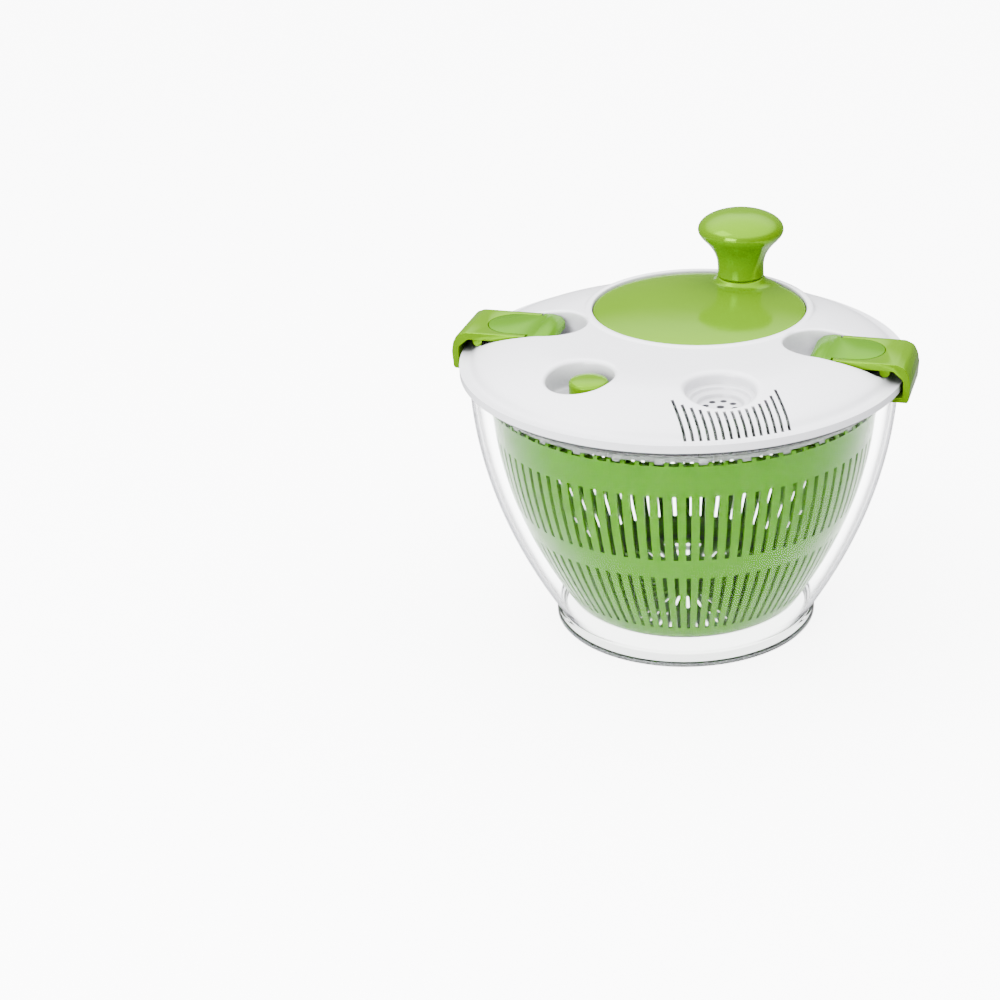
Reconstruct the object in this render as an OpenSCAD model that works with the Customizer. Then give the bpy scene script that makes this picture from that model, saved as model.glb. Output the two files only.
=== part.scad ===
// Salad spinner: clear bowl, draining basket and a lid with an offset crank
// disc that turns the basket through an internal ring gear.
// Millimetres, +Z up, origin at the centre of the foot on the table,
// +X towards the right latch, -Y towards the side with the water inlet.

/* [Bowl] */
// Outer radius of the bowl at its mouth
bowl_r = 120.8; // [118:0.2:146]
// Height of the bowl's rim above the table
bowl_h = 154.5; // [128:0.5:190]
// Thickness of the bowl's wall and floor
bowl_wall = 2.6; // [2.2:0.1:3.2]
// How far the bowl's lip stands out
lip_out = 2.6; // [2.2:0.1:2.8]
// Thickness of the lip's edge
lip_edge = 3.2; // [2.6:0.1:4]
// Outer radius of the foot
foot_r = 75.6; // [62:0.2:92]
// Height of the foot
foot_h = 8; // [7:0.5:10]
// Radius of the pivot that the basket turns on
pivot_r = 3.5; // [2.8:0.1:4.2]

/* [Basket] */
// Outer radius of the basket at its rim
basket_r = 109; // [91:0.5:111]
// Outer radius of the basket's floor
basket_floor_r = 66; // [55:0.5:72]
// Thickness of the basket's wall and floor
basket_wall = 2; // [1.6:0.1:2.6]
// Number of slots in each row, and of notches in the rim
slot_count = 90; // [60:2:108]
// Share of the basket's wall that the slots open
slot_share = 0.38; // [0.25:0.01:0.45]
// Height of the plain band between the two rows of slots
slot_band = 13; // [8:0.5:20]

/* [Lid] */
// Thickness of the lid's shell
lid_wall = 2.4; // [2:0.1:3]
// Radius of the water inlet and of the brake's recess
recess_r = 20; // [17:0.5:22]
// Number of drain slots by the water inlet
drain_count = 15; // [9:2:17]
// Width of a drain slot
drain_w = 1.3; // [0.8:0.1:1.8]
// Distance from one drain slot to the next
drain_pitch = 4; // [3:0.1:4.4]

/* [Crank] */
// Radius of the crank disc
disc_r = 61.1; // [59.5:0.1:63]
// Distance of the knob from the disc's centre
knob_reach = 45; // [36:0.5:46]
// Angle of the knob round the disc at rest
knob_angle = 69.6; // [0:0.2:360]
// Radius of the knob's head
knob_r = 25.1; // [20:0.1:28]
// Height of the knob
knob_h = 42; // [34:0.5:50]
// Radius of the knob's spindle
spindle_r = 5; // [4:0.1:6]
// Radius of the crank's axle
axle_r = 4; // [3.2:0.1:5]

/* [Gears] */
// Module of the gear teeth
gear_module = 1.8; // [1.7:0.01:1.8]
// Teeth on the pinion
pinion_teeth = 15; // [15:1:16]
// Teeth on the ring gear
ring_teeth = 60; // [60:1:60]
// Radius of the drive shaft
shaft_r = 5; // [4:0.1:6]

/* [Latches] */
// Width of a latch
latch_w = 39; // [32:0.5:42]
// Thickness of the latch's plate
latch_t = 4.2; // [3.8:0.1:4.6]
// Radius of the latch's pin
latch_pin_r = 1.5; // [1.2:0.1:1.6]
// Width of the pad's tongue
tongue_w = 31; // [22:0.5:31]

/* [Brake] */
// Radius of the brake button
button_r = 10.8; // [9:0.1:12]
// Radius of the brake's stem
stem_r = 3; // [2.4:0.1:3.4]
// How far the brake can be pressed
brake_travel = 3.3; // [2.4:0.1:3.4]

/* [Clearances] */
// Radial clearance of a running fit
run_gap = 0.05; // [0.03:0.01:0.08]
// Gap between parts that only pass each other
free_gap = 0.4; // [0.35:0.05:0.6]

/* [Hidden] */

$fn = 96;
eps = 0.01;

// Bowl
bowl_base_r = foot_r - 1.6;
floor_top = foot_h;
floor_bottom = foot_h - bowl_wall;
lip_r = bowl_r + lip_out;
lip_slope = 1.3;
grip_h = 2.2;
grip_w = 2.4;
grip_show = 0.9;
pivot_top = floor_top + 9;
bowl_steps = 9;

// Basket and drive plate
basket_bottom = floor_top + 5.3;
basket_top = bowl_h - 12.5;
rim_flange = 2.6;
rim_h = 3;
notch_depth = 2.1;
notch_share = 0.7;
plate_gap = 0.6;
plate_bottom = basket_top + plate_gap;
plate_t = 2.2;
plate_top = plate_bottom + plate_t;
plate_r = basket_r + rim_flange;
hub_bottom = plate_bottom - 4.8;
hub_recess = 1.8;
hub_web = 1;
shaft_bottom = hub_bottom + hub_recess + hub_web;
slot_low = basket_bottom + 10.7;
slot_high = basket_top - 21.5;
slot_mid = slot_low + (slot_high - slot_low - slot_band) / 2;
socket_wall = 4.5;

// Lid
lid_edge = bowl_h - 1.5;
rim_r = lip_r + free_gap + 2.2;
spigot_r = bowl_r - bowl_wall - free_gap;
spigot_w = 2.2;
spigot_bottom = bowl_h - 6;
dome_pts = [[0, 0], [0, 3], [-0.6, 3.6], [-4.5, 4.6], [-6, 5.8], [-9, 8.6],
    [-14, 11.4], [-20, 13.6], [-35, 17.2], [-46, 19], [-60, 19.6]];
dome_last = len(dome_pts) - 1;
dome_top = lid_edge + 19.8;
housing_bottom = plate_top + 7.2;
housing_t = 2.5;
housing_top = housing_bottom + housing_t;
collar_w = 4;
collar_top = lid_edge + 20.4;
well_r = disc_r + 0.7;
well_wall = 2.4;
boss_r = 4;
boss_angles = [90, 20, 160, -50, -130];
boss_reach = well_r + well_wall + 5.1;
screw_r = 1.2;
tub_wall = 2.2;

// Crank
gear_bottom = housing_top + 2;
gear_top = gear_bottom + 11;
web_top = gear_top + 1.7;
disc_edge_top = web_top + 3;
crank_y = gear_module * (ring_teeth - pinion_teeth) / 2;
knob_x = knob_reach * cos(knob_angle);
knob_y = crank_y + knob_reach * sin(knob_angle);
knob_bottom = disc_edge_top + 6.6;
knob_boss_top = knob_bottom - free_gap;
knob_boss_r = 14.2;
spindle_top = knob_bottom + 21;
disc_screw_reach = 18;
bush_wall = 3;
bush_flange = 1.1;
bush_bottom = housing_bottom - 1.5;

// Gears
pressure = 20;
ring_pitch_r = gear_module * ring_teeth / 2;
pinion_pitch_r = gear_module * pinion_teeth / 2;
ring_tip_r = ring_pitch_r - 0.7 * gear_module;
ring_root_r = ring_pitch_r + 1.1 * gear_module;
ring_outer_r = disc_r - 2.1;
pinion_tip_r = pinion_pitch_r + 0.8 * gear_module;
pinion_root_r = pinion_pitch_r - 1.1 * gear_module;
flank_backlash = 0.12;
mesh_angle = -90;

// Water inlet and brake
funnel_x = 36.5;
funnel_y = -73;
funnel_az = atan2(funnel_y, funnel_x);
funnel_dist = norm([funnel_x, funnel_y]);
funnel_floor = lid_edge + 7;
inlet_holes = 8;
drain_arc_r = recess_r + tub_wall + 10.4;
drain_arc_back = 9.8;
drain_floor = lid_edge + 4.4;
drain_end_r = rim_r - 5.2;
brake_recess = [-41, -71];
brake_x = -36.5;
brake_y = -70;
brake_floor = lid_edge + 4;
brake_floor_t = 2.2;
button_top = lid_edge + 16.5;
button_bottom = brake_floor + brake_travel + free_gap;
pad_t = 3;
pad_bottom = plate_top + brake_travel + 0.2;
clip_t = 1;
spring_wire_r = 0.4;
brake_coils = 6;

// Latches
latch_top = lid_edge + 17;
latch_inner = rim_r - 53.4;
latch_split = rim_r - 39.6;
latch_outer = rim_r + 4.6;
hook_in = rim_r + 0.6;
tongue_end = rim_r - 12.5;
tongue_t = 2.2;
latch_bottom = latch_top - latch_t;
pin_x = rim_r - 10;
pin_z = lid_edge + 10.9;
scoop_x = latch_inner + 4.4;
latch_side = 0.8;
recess_half = latch_w / 2 + latch_side;
scoop_floor = lid_edge + 2.3;
channel_floor = lid_edge + 7.8;
channel_x = latch_split + 6.6;
toe_r = bowl_r + 0.5;
toe_bottom = bowl_h - 6.6;
toe_top = bowl_h - 3.6;
lug_r = latch_pin_r + 1;
lug_in = 8;
lug_w = 4;
knuckle_w = 4.6;

// Outer radius of the bowl's wall at height z
function bowl_at(z) =
    let (u = (z - foot_h) / (bowl_h - foot_h))
    bowl_base_r + (bowl_r - bowl_base_r) * (1 - (1 - u) * (1 - u));

// Outer radius of the basket's wall at height z
function basket_at(z) =
    let (u = (z - basket_bottom) / (basket_top - basket_bottom))
    basket_floor_r + (basket_r - basket_floor_r) * (1 - (1 - u) * (1 - u));

// Angle in degrees of an involute from its base circle out to radius r
function involute(r, base) =
    let (t = sqrt(max(0, (r / base) * (r / base) - 1)))
    t * 180 / PI - atan(t);

function polar(r, a) = [r * cos(a), r * sin(a)];

// Outline of a gear: teeth of half angle `half` at the pitch circle,
// from radius r0 to radius r1, with one tooth at mesh_angle
function gear_outline(teeth, pitch, r0, r1, half, steps) =
    let (base = pitch * cos(pressure), low = max(r0, base + 0.02))
    [for (i = [0:teeth - 1])
        let (a = mesh_angle + i * 360 / teeth)
        for (s = [-1, 1])
            for (k = [0:steps + 1])
                let (j = s < 0 ? k : steps + 1 - k,
                    f = max(0, j - 1) / steps,
                    rr = low + f * (r1 - low),
                    w = half + involute(pitch, base) - involute(rr, base))
                polar(j == 0 ? r0 - eps : rr, a + s * w)];

// Outline that opens `count` wedges between two radii, for slots
function wedge_outline(count, share, r0, r1) =
    [for (i = [0:count - 1])
        let (a = i * 360 / count, h = share * 180 / count)
        for (p = [[r0, -h], [r1, -h], [r1, h], [r0, h]])
            polar(p[0], a + p[1])];

function dome_pt(i) = [rim_r + dome_pts[i][0], lid_edge + dome_pts[i][1]];

module bowl() {
    inner = [for (i = [bowl_steps:-1:0])
        let (z = floor_top + 2.5 + (bowl_h - 4 - floor_top) * i / bowl_steps)
        [bowl_at(z) - bowl_wall, z]];
    outer = [for (i = [0:bowl_steps])
        let (z = foot_h + (bowl_h - 4.5 - foot_h) * i / bowl_steps)
        [bowl_at(z), z]];
    lip_z = bowl_h - lip_edge;
    color([0.86, 0.9, 0.9, 0.35])
    difference() {
        rotate_extrude($fn = 160)
        polygon(concat(
            [[foot_r, grip_show], [foot_r, foot_h - 1], [foot_r - 1, foot_h]],
            outer,
            [[bowl_r, lip_z - lip_slope], [lip_r, lip_z], [lip_r, bowl_h - 0.8],
             [lip_r - 0.8, bowl_h], [bowl_r - bowl_wall + 0.6, bowl_h]],
            inner,
            [[bowl_at(floor_top) - bowl_wall - 2.5, floor_top], [pivot_r, floor_top],
             [pivot_r, pivot_top - 1.6], [pivot_r - 1.3, pivot_top - 0.3], [0, pivot_top],
             [0, floor_bottom], [18, floor_bottom], [18, floor_bottom - 1.6],
             [20, floor_bottom - 1.6], [20, floor_bottom], [44, floor_bottom],
             [44, floor_bottom - 1.6], [46, floor_bottom - 1.6], [46, floor_bottom],
             [foot_r - 4.4, floor_bottom], [foot_r - 4.4, grip_show]]));
        rotate_extrude($fn = 160)
        translate([foot_r - 3.4, 0])
        square([grip_w, grip_h]);
    }
}

module base_grip_ring() {
    color([0.75, 0.78, 0.78])
    rotate_extrude($fn = 160)
    translate([foot_r - 3.4, 0])
    square([grip_w, grip_h]);
}

module basket() {
    steps = 9;
    wall_pts = [for (i = [0:steps])
        let (z = basket_bottom + 2 + (basket_top - rim_h - basket_bottom - 2) * i / steps)
        [basket_at(z), z]];
    in_pts = [for (i = [steps:-1:0])
        let (z = basket_bottom + basket_wall + 2
            + (basket_top - basket_bottom - basket_wall - 2) * i / steps)
        [basket_at(z) - basket_wall, z]];
    color([0.55, 0.76, 0.13, 0.85])
    difference() {
        union() {
            difference() {
                rotate_extrude($fn = 160)
                polygon(concat(
                    [[0, basket_bottom], [basket_floor_r - 3, basket_bottom]],
                    wall_pts,
                    [[plate_r, basket_top - rim_h + 0.6], [plate_r, basket_top]],
                    in_pts,
                    [[basket_floor_r - basket_wall - 3, basket_bottom + basket_wall],
                     [0, basket_bottom + basket_wall]]));
                translate([0, 0, slot_low])
                linear_extrude(slot_mid - slot_low)
                polygon(wedge_outline(slot_count, slot_share, 30, plate_r + 20));
                translate([0, 0, slot_mid + slot_band])
                linear_extrude(slot_high - slot_mid - slot_band)
                polygon(wedge_outline(slot_count, slot_share, 30, plate_r + 20));
                translate([0, 0, basket_top - notch_depth])
                linear_extrude(notch_depth + 1)
                polygon(wedge_outline(slot_count, notch_share, 30, plate_r + 20));
                translate([0, 0, basket_bottom - 1])
                linear_extrude(basket_wall + 2)
                floor_slots();
            }
            translate([0, 0, basket_bottom - 2])
            cylinder(r = pivot_r + socket_wall, h = pivot_top + 4 - basket_bottom, $fn = 48);
        }
        translate([0, 0, basket_bottom - 3])
        cylinder(r = pivot_r + run_gap, h = pivot_top + 0.1 - basket_bottom + 3, $fn = 48);
    }
}

// Radial drain slots in the basket's floor
module floor_slots() {
    for (i = [0:23])
        rotate(i * 15)
        translate([14, -1.1])
        square([18, 2.2]);
    for (i = [0:47])
        rotate(i * 7.5 + 3.75)
        translate([36, -1.1])
        square([basket_floor_r - 46, 2.2]);
}

module at_crank() {
    translate([0, crank_y, 0])
    children();
}

// The space under the lid's outer surface, for trimming what hangs below it
module lid_fill() {
    rotate_extrude($fn = 160)
    polygon(concat(
        [[0, spigot_bottom], [spigot_r - 0.8, spigot_bottom], [spigot_r - 0.8, bowl_h]],
        [for (i = [4:dome_last]) dome_pt(i)],
        [[0, dome_top]]));
}

module lid_shell() {
    land_r = lip_r + free_gap;
    under = [for (i = [dome_last:-1:7])
        let (p = dome_pt(i))
        [p[0] - 0.4, p[1] - lid_wall]];
    rotate_extrude($fn = 160)
    polygon(concat(
        [for (i = [0:dome_last]) dome_pt(i)],
        [[0, dome_top], [0, dome_top - lid_wall]],
        under,
        [[spigot_r - spigot_w, lid_edge + 5.5], [spigot_r - spigot_w, spigot_bottom],
         [spigot_r, spigot_bottom], [spigot_r, bowl_h], [land_r, bowl_h],
         [land_r, lid_edge]]));
}

module latch_tub() {
    translate([scoop_x, 0, scoop_floor - tub_wall])
    cylinder(r = recess_half + tub_wall, h = 40);
    translate([scoop_x, -recess_half - tub_wall, scoop_floor - tub_wall])
    cube([channel_x + tub_wall - scoop_x, 2 * (recess_half + tub_wall), 40]);
    translate([scoop_x, -recess_half - tub_wall, channel_floor - tub_wall])
    cube([rim_r - scoop_x, 2 * (recess_half + tub_wall), 40]);
}

module latch_cavity() {
    translate([scoop_x, 0, scoop_floor])
    rotate_extrude()
    polygon([[0, 0], [recess_half - 7, 0], [recess_half - 2.6, 2.6],
        [recess_half - 0.6, 7], [recess_half, 12], [recess_half, 30], [0, 30]]);
    translate([latch_inner - 0.6, -recess_half, scoop_floor])
    cube([channel_x - latch_inner + 0.6, 2 * recess_half, 30]);
    translate([channel_x - 1, -recess_half, channel_floor])
    cube([rim_r + 20 - channel_x, 2 * recess_half, 30]);
}

// Two lugs that carry the latch's pin
module latch_lugs() {
    for (s = [-1, 1])
        translate([0, s * (lug_in + lug_w / 2), 0])
        difference() {
            union() {
                translate([pin_x, lug_w / 2, pin_z])
                rotate([90, 0, 0])
                cylinder(r = lug_r, h = lug_w, $fn = 32);
                translate([pin_x - lug_r, -lug_w / 2, channel_floor - 1])
                cube([lug_r * 2 - 0.4, lug_w, pin_z - channel_floor + 1]);
            }
            translate([pin_x, lug_w, pin_z])
            rotate([90, 0, 0])
            cylinder(r = latch_pin_r, h = lug_w * 2, $fn = 32);
        }
}

module funnel_outer() {
    translate([funnel_x, funnel_y, funnel_floor - tub_wall])
    rotate_extrude()
    polygon([[0, 0], [recess_r - 6, 0], [recess_r - 5.4, 2.8], [recess_r - 2.4, 2.8],
        [recess_r - 1.6, 5.2], [recess_r + 0.4, 5.4], [recess_r + tub_wall, 11],
        [recess_r + tub_wall, 20], [0, 20]]);
}

module funnel_cavity() {
    translate([funnel_x, funnel_y, funnel_floor])
    rotate_extrude()
    polygon([[0, 0], [recess_r - 8.2, 0], [recess_r - 7.6, 2.6], [recess_r - 4.6, 2.8],
        [recess_r - 3.8, 5.2], [recess_r - 1.8, 5.4], [recess_r, 11], [recess_r, 24],
        [0, 24]]);
    translate([funnel_x, funnel_y, funnel_floor - tub_wall - 1]) {
        for (i = [0:inlet_holes - 1])
            rotate(i * 360 / inlet_holes)
            translate([recess_r - 12, 0, 0])
            cylinder(r = 1.9, h = tub_wall + 2, $fn = 24);
        cylinder(r = 2.2, h = tub_wall + 2, $fn = 24);
    }
}

module drain_slots() {
    half = (drain_count - 1) / 2;
    rotate(funnel_az)
    for (i = [-half:half])
        let (v = i * drain_pitch,
            start = funnel_dist - drain_arc_back + sqrt(drain_arc_r * drain_arc_r - v * v),
            end = sqrt(drain_end_r * drain_end_r - v * v))
        translate([start, v - drain_w / 2, drain_floor])
        cube([end - start, drain_w, 30]);
}

module brake_outer() {
    translate([brake_recess[0], brake_recess[1], brake_floor - brake_floor_t])
    cylinder(r = recess_r + tub_wall - 1.6, h = 40);
}

module brake_cavity() {
    translate([brake_recess[0], brake_recess[1], brake_floor])
    rotate_extrude()
    polygon([[0, 0], [recess_r - 4.2, 0], [recess_r - 2.6, 1.6], [recess_r - 1.6, 10],
        [recess_r, 15], [recess_r, 30], [0, 30]]);
    translate([brake_x, brake_y, brake_floor - brake_floor_t - 1])
    cylinder(r = stem_r + run_gap, h = brake_floor_t + 2, $fn = 48);
}

module lid_bosses() {
    at_crank()
    for (a = boss_angles)
        rotate(a)
        translate([boss_reach, 0, housing_top])
        cylinder(r = boss_r, h = 30, $fn = 32);
}

module screw_at_bosses(r, z, h) {
    at_crank()
    for (a = boss_angles)
        rotate(a)
        translate([boss_reach, 0, z])
        cylinder(r = r, h = h, $fn = 32);
}

module lid_cover() {
    pilot_h = 9;
    color([0.95, 0.95, 0.96]) {
        difference() {
            union() {
                lid_shell();
                intersection() {
                    lid_fill();
                    union() {
                        latch_tub();
                        mirror([1, 0, 0])
                        latch_tub();
                        funnel_outer();
                        brake_outer();
                        lid_bosses();
                        at_crank()
                        translate([0, 0, housing_top])
                        cylinder(r = well_r + well_wall, h = 30, $fn = 160);
                    }
                }
                at_crank()
                translate([0, 0, collar_top - 10])
                rotate_extrude($fn = 160)
                polygon([[well_r - 1, 0], [well_r + collar_w, 0],
                    [well_r + collar_w, 8.6], [well_r + collar_w - 1.4, 10],
                    [well_r + 0.6, 10], [well_r - 1, 9.4]]);
            }
            latch_cavity();
            mirror([1, 0, 0])
            latch_cavity();
            funnel_cavity();
            brake_cavity();
            drain_slots();
            screw_at_bosses(screw_r, housing_top - 1, pilot_h + 1);
            at_crank()
            translate([0, 0, spigot_bottom - 1])
            cylinder(r = well_r, h = 60, $fn = 160);
        }
        latch_lugs();
        mirror([1, 0, 0])
        latch_lugs();
    }
}

module gear_housing() {
    color([0.9, 0.9, 0.91])
    difference() {
        union() {
            at_crank()
            translate([0, 0, housing_bottom])
            cylinder(r = well_r + well_wall, h = housing_t, $fn = 160);
            screw_at_bosses(boss_r + 1, housing_bottom, housing_t);
            at_crank()
            for (a = boss_angles)
                rotate(a)
                translate([well_r, -boss_r - 1, housing_bottom])
                cube([boss_reach - well_r, 2 * boss_r + 2, housing_t]);
            at_crank()
            translate([0, 0, housing_top - eps])
            difference() {
                cylinder(r = well_r - free_gap, h = 1.2 + eps, $fn = 160);
                translate([0, 0, -1])
                cylinder(r = well_r - free_gap - 1.4, h = 4, $fn = 160);
            }
        }
        screw_at_bosses(screw_r + 0.3, housing_bottom - 1, housing_t + 2);
        at_crank()
        translate([0, 0, housing_bottom - 1])
        cylinder(r = axle_r + bush_wall, h = housing_t + 2, $fn = 48);
        translate([0, 0, housing_bottom - 1])
        cylinder(r = shaft_r + bush_wall, h = housing_t + 2, $fn = 48);
    }
}

module housing_screws() {
    color([0.7, 0.71, 0.73]) {
        screw_at_bosses(2.8, housing_bottom - 1.8, 1.8);
        screw_at_bosses(screw_r, housing_bottom - 0.5, housing_t + 8);
    }
}

// A flanged bush pressed into the gear housing
module bush(bore_r) {
    difference() {
        union() {
            translate([0, 0, bush_bottom])
            cylinder(r = bore_r + bush_wall, h = housing_top - bush_bottom, $fn = 48);
            translate([0, 0, housing_top])
            cylinder(r = bore_r + bush_wall + 2, h = bush_flange, $fn = 48);
        }
        translate([0, 0, bush_bottom - 1])
        cylinder(r = bore_r + run_gap, h = housing_top + 4 - bush_bottom, $fn = 48);
    }
}

module crank_bush() {
    color([0.85, 0.84, 0.78])
    at_crank()
    bush(axle_r);
}

module drive_bush() {
    color([0.85, 0.84, 0.78])
    bush(shaft_r);
}

module crank_disc() {
    e = disc_edge_top;
    color([0.56, 0.76, 0.12])
    difference() {
        union() {
            at_crank()
            rotate_extrude($fn = 160)
            polygon([[0, e + 4.2], [15, e + 4], [30, e + 3.4], [45, e + 2.2],
                [55, e + 0.9], [disc_r - 1.1, e], [disc_r, e - 0.9], [disc_r, e - 2.6],
                [ring_outer_r, web_top], [50, web_top], [49, web_top + 2],
                [30, web_top + 3.6], [0, web_top + 4.2]]);
            translate([knob_x, knob_y, e])
            cylinder(r = knob_boss_r, h = knob_boss_top - e, $fn = 64);
            translate([knob_x, knob_y, web_top + 2])
            cylinder(r = spindle_r + 3, h = 4, $fn = 48);
            at_crank()
            for (a = [45:90:315])
                rotate(a)
                translate([disc_screw_reach, 0, web_top])
                cylinder(r = 3.4, h = 5, $fn = 32);
        }
        translate([knob_x, knob_y, web_top + 4.2])
        cylinder(r = spindle_r, h = 20, $fn = 48);
        translate([knob_x, knob_y, web_top + 1])
        cylinder(r = 2, h = 5, $fn = 32);
        at_crank()
        for (a = [45:90:315])
            rotate(a)
            translate([disc_screw_reach, 0, web_top - 1])
            cylinder(r = screw_r, h = 4.6, $fn = 24);
    }
}

module ring_gear() {
    half = 90 / ring_teeth + flank_backlash / ring_pitch_r * 180 / PI;
    color([0.93, 0.93, 0.92])
    at_crank()
    difference() {
        union() {
            translate([0, 0, gear_bottom])
            linear_extrude(gear_top - gear_bottom + eps)
            difference() {
                circle(r = ring_outer_r, $fn = 160);
                polygon(gear_outline(ring_teeth, ring_pitch_r, ring_tip_r,
                    ring_root_r, half, 3));
            }
            translate([0, 0, gear_top])
            cylinder(r = ring_outer_r, h = web_top - gear_top, $fn = 160);
            translate([0, 0, housing_top + bush_flange + 0.2])
            cylinder(r = axle_r + 5, h = web_top - housing_top - bush_flange - 0.2, $fn = 48);
        }
        translate([0, 0, housing_top])
        cylinder(r = axle_r, h = web_top - housing_top - 1, $fn = 48);
        for (a = [45:90:315])
            rotate(a)
            translate([disc_screw_reach, 0, gear_top - 1])
            cylinder(r = screw_r + 0.2, h = 4, $fn = 24);
    }
}

module disc_screws() {
    color([0.7, 0.71, 0.73])
    at_crank()
    for (a = [45:90:315])
        rotate(a)
        translate([disc_screw_reach, 0, gear_top - 1.8]) {
            cylinder(r = 2.6, h = 1.8, $fn = 32);
            cylinder(r = screw_r, h = 6.6, $fn = 24);
        }
}

module crank_axle() {
    bottom = bush_bottom - 0.2;
    color([0.75, 0.76, 0.78])
    at_crank()
    difference() {
        translate([0, 0, bottom])
        cylinder(r = axle_r, h = web_top - 1 - bottom, $fn = 48);
        translate([0, 0, bottom - 1])
        cylinder(r = 1.5, h = 9, $fn = 24);
    }
}

module crank_washer() {
    color([0.75, 0.76, 0.78])
    at_crank()
    translate([0, 0, bush_bottom - 1.2])
    difference() {
        cylinder(r = axle_r + bush_wall, h = 1, $fn = 48);
        translate([0, 0, -1])
        cylinder(r = 1.6, h = 3, $fn = 24);
    }
}

module crank_screw() {
    color([0.7, 0.71, 0.73])
    at_crank()
    translate([0, 0, bush_bottom - 2.8]) {
        cylinder(r = 3, h = 1.6, $fn = 32);
        cylinder(r = 1.5, h = 9, $fn = 24);
    }
}

module knob_spindle() {
    bottom = web_top + 4.2;
    color([0.93, 0.93, 0.92])
    translate([knob_x, knob_y, 0])
    difference() {
        union() {
            translate([0, 0, bottom])
            cylinder(r = spindle_r, h = spindle_top - bottom, $fn = 48);
            translate([0, 0, spindle_top - 4])
            cylinder(r = spindle_r + 1.4, h = 3, $fn = 48);
        }
        translate([0, 0, bottom - 1])
        cylinder(r = 2, h = 15, $fn = 32);
    }
}

module knob_screw() {
    color([0.7, 0.71, 0.73])
    translate([knob_x, knob_y, web_top + 0.3]) {
        cylinder(r = 3.8, h = 1.7, $fn = 32);
        cylinder(r = 2, h = 15, $fn = 32);
    }
}

module knob() {
    r = knob_r;
    h = knob_h;
    color([0.56, 0.76, 0.12])
    translate([knob_x, knob_y, knob_bottom])
    difference() {
        rotate_extrude($fn = 64)
        polygon([[0, 0], [13.3, 0], [13.8, 0.6], [13.6, 0.14 * h], [14.1, 0.24 * h],
            [r - 9.2, 0.36 * h], [r - 4.7, 0.48 * h], [r - 1.3, 0.58 * h],
            [r, 0.68 * h], [r - 0.4, 0.74 * h], [r - 2.4, 0.81 * h],
            [r - 7, 0.9 * h], [r - 14, 0.97 * h], [0, h]]);
        translate([0, 0, -1])
        cylinder(r = spindle_r + run_gap, h = spindle_top - knob_bottom - 3, $fn = 48);
        translate([0, 0, spindle_top - knob_bottom - 4 - free_gap])
        cylinder(r = spindle_r + 1.4 + free_gap, h = 4 + 2 * free_gap, $fn = 48);
    }
}

module drive_pinion() {
    half = 90 / pinion_teeth - flank_backlash / pinion_pitch_r * 180 / PI;
    bottom = housing_top + bush_flange + 0.2;
    color([0.93, 0.93, 0.92])
    difference() {
        union() {
            translate([0, 0, bottom])
            linear_extrude(gear_top - 1 - bottom)
            polygon(gear_outline(pinion_teeth, pinion_pitch_r, pinion_root_r,
                pinion_tip_r, half, 4));
            translate([0, 0, shaft_bottom])
            cylinder(r = shaft_r, h = bottom - shaft_bottom + 1, $fn = 48);
        }
        translate([0, 0, shaft_bottom - 1])
        cylinder(r = 1.7, h = 10, $fn = 24);
    }
}

module drive_plate() {
    lugs = slot_count / 3;
    color([0.88, 0.92, 0.92, 0.4])
    difference() {
        union() {
            translate([0, 0, plate_bottom])
            linear_extrude(plate_t)
            difference() {
                circle(r = plate_r, $fn = 160);
                plate_holes();
            }
            translate([0, 0, hub_bottom])
            cylinder(r = shaft_r + 4, h = plate_top - hub_bottom, $fn = 48);
            translate([0, 0, basket_top - notch_depth + 0.7])
            linear_extrude(plate_bottom - basket_top + notch_depth - 0.7 + eps)
            for (i = [0:lugs - 1])
                rotate(i * 360 / lugs)
                translate([basket_r - 1.6, -lug_half()])
                square([rim_flange + 1, 2 * lug_half()]);
        }
        translate([0, 0, shaft_bottom])
        cylinder(r = shaft_r, h = 20, $fn = 48);
        translate([0, 0, hub_bottom - 1])
        cylinder(r = 1.7, h = 5, $fn = 24);
        translate([0, 0, hub_bottom - 1])
        cylinder(r = shaft_r + 0.4, h = hub_recess + 1, $fn = 48);
    }
}

// Half the width of a drive lug, which sits in a notch with clearance
function lug_half() = basket_r * tan(notch_share * 180 / slot_count) - free_gap - 0.1;

module plate_holes() {
    for (i = [0:59])
        rotate(i * 6)
        translate([plate_r - 9, 0])
        circle(r = 1.8, $fn = 20);
    for (i = [0:59])
        rotate(i * 6 + 3)
        translate([plate_r - 15, 0])
        circle(r = 1.8, $fn = 20);
    for (i = [0:29])
        rotate(i * 12)
        translate([66, 0])
        circle(r = 2.4, $fn = 20);
    for (i = [0:17])
        rotate(i * 20)
        translate([48, 0])
        circle(r = 2.4, $fn = 20);
}

module drive_screw() {
    color([0.7, 0.71, 0.73])
    translate([0, 0, hub_bottom]) {
        cylinder(r = shaft_r, h = hub_recess, $fn = 32);
        cylinder(r = 1.7, h = 11, $fn = 24);
    }
}

module brake_button() {
    t = button_top;
    color([0.56, 0.76, 0.12])
    translate([brake_x, brake_y, 0])
    difference() {
        rotate_extrude($fn = 64)
        polygon([[0, t], [button_r - 4, t - 0.4], [button_r - 0.9, t - 1.2], [button_r, t - 2.2],
            [button_r, button_bottom], [button_r - 1.6, button_bottom],
            [button_r - 1.6, t - 3.4], [0, t - 2.6]]);
        translate([0, 0, t - 4])
        cylinder(r = stem_r - 0.8, h = 2.6, $fn = 32);
    }
}

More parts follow.
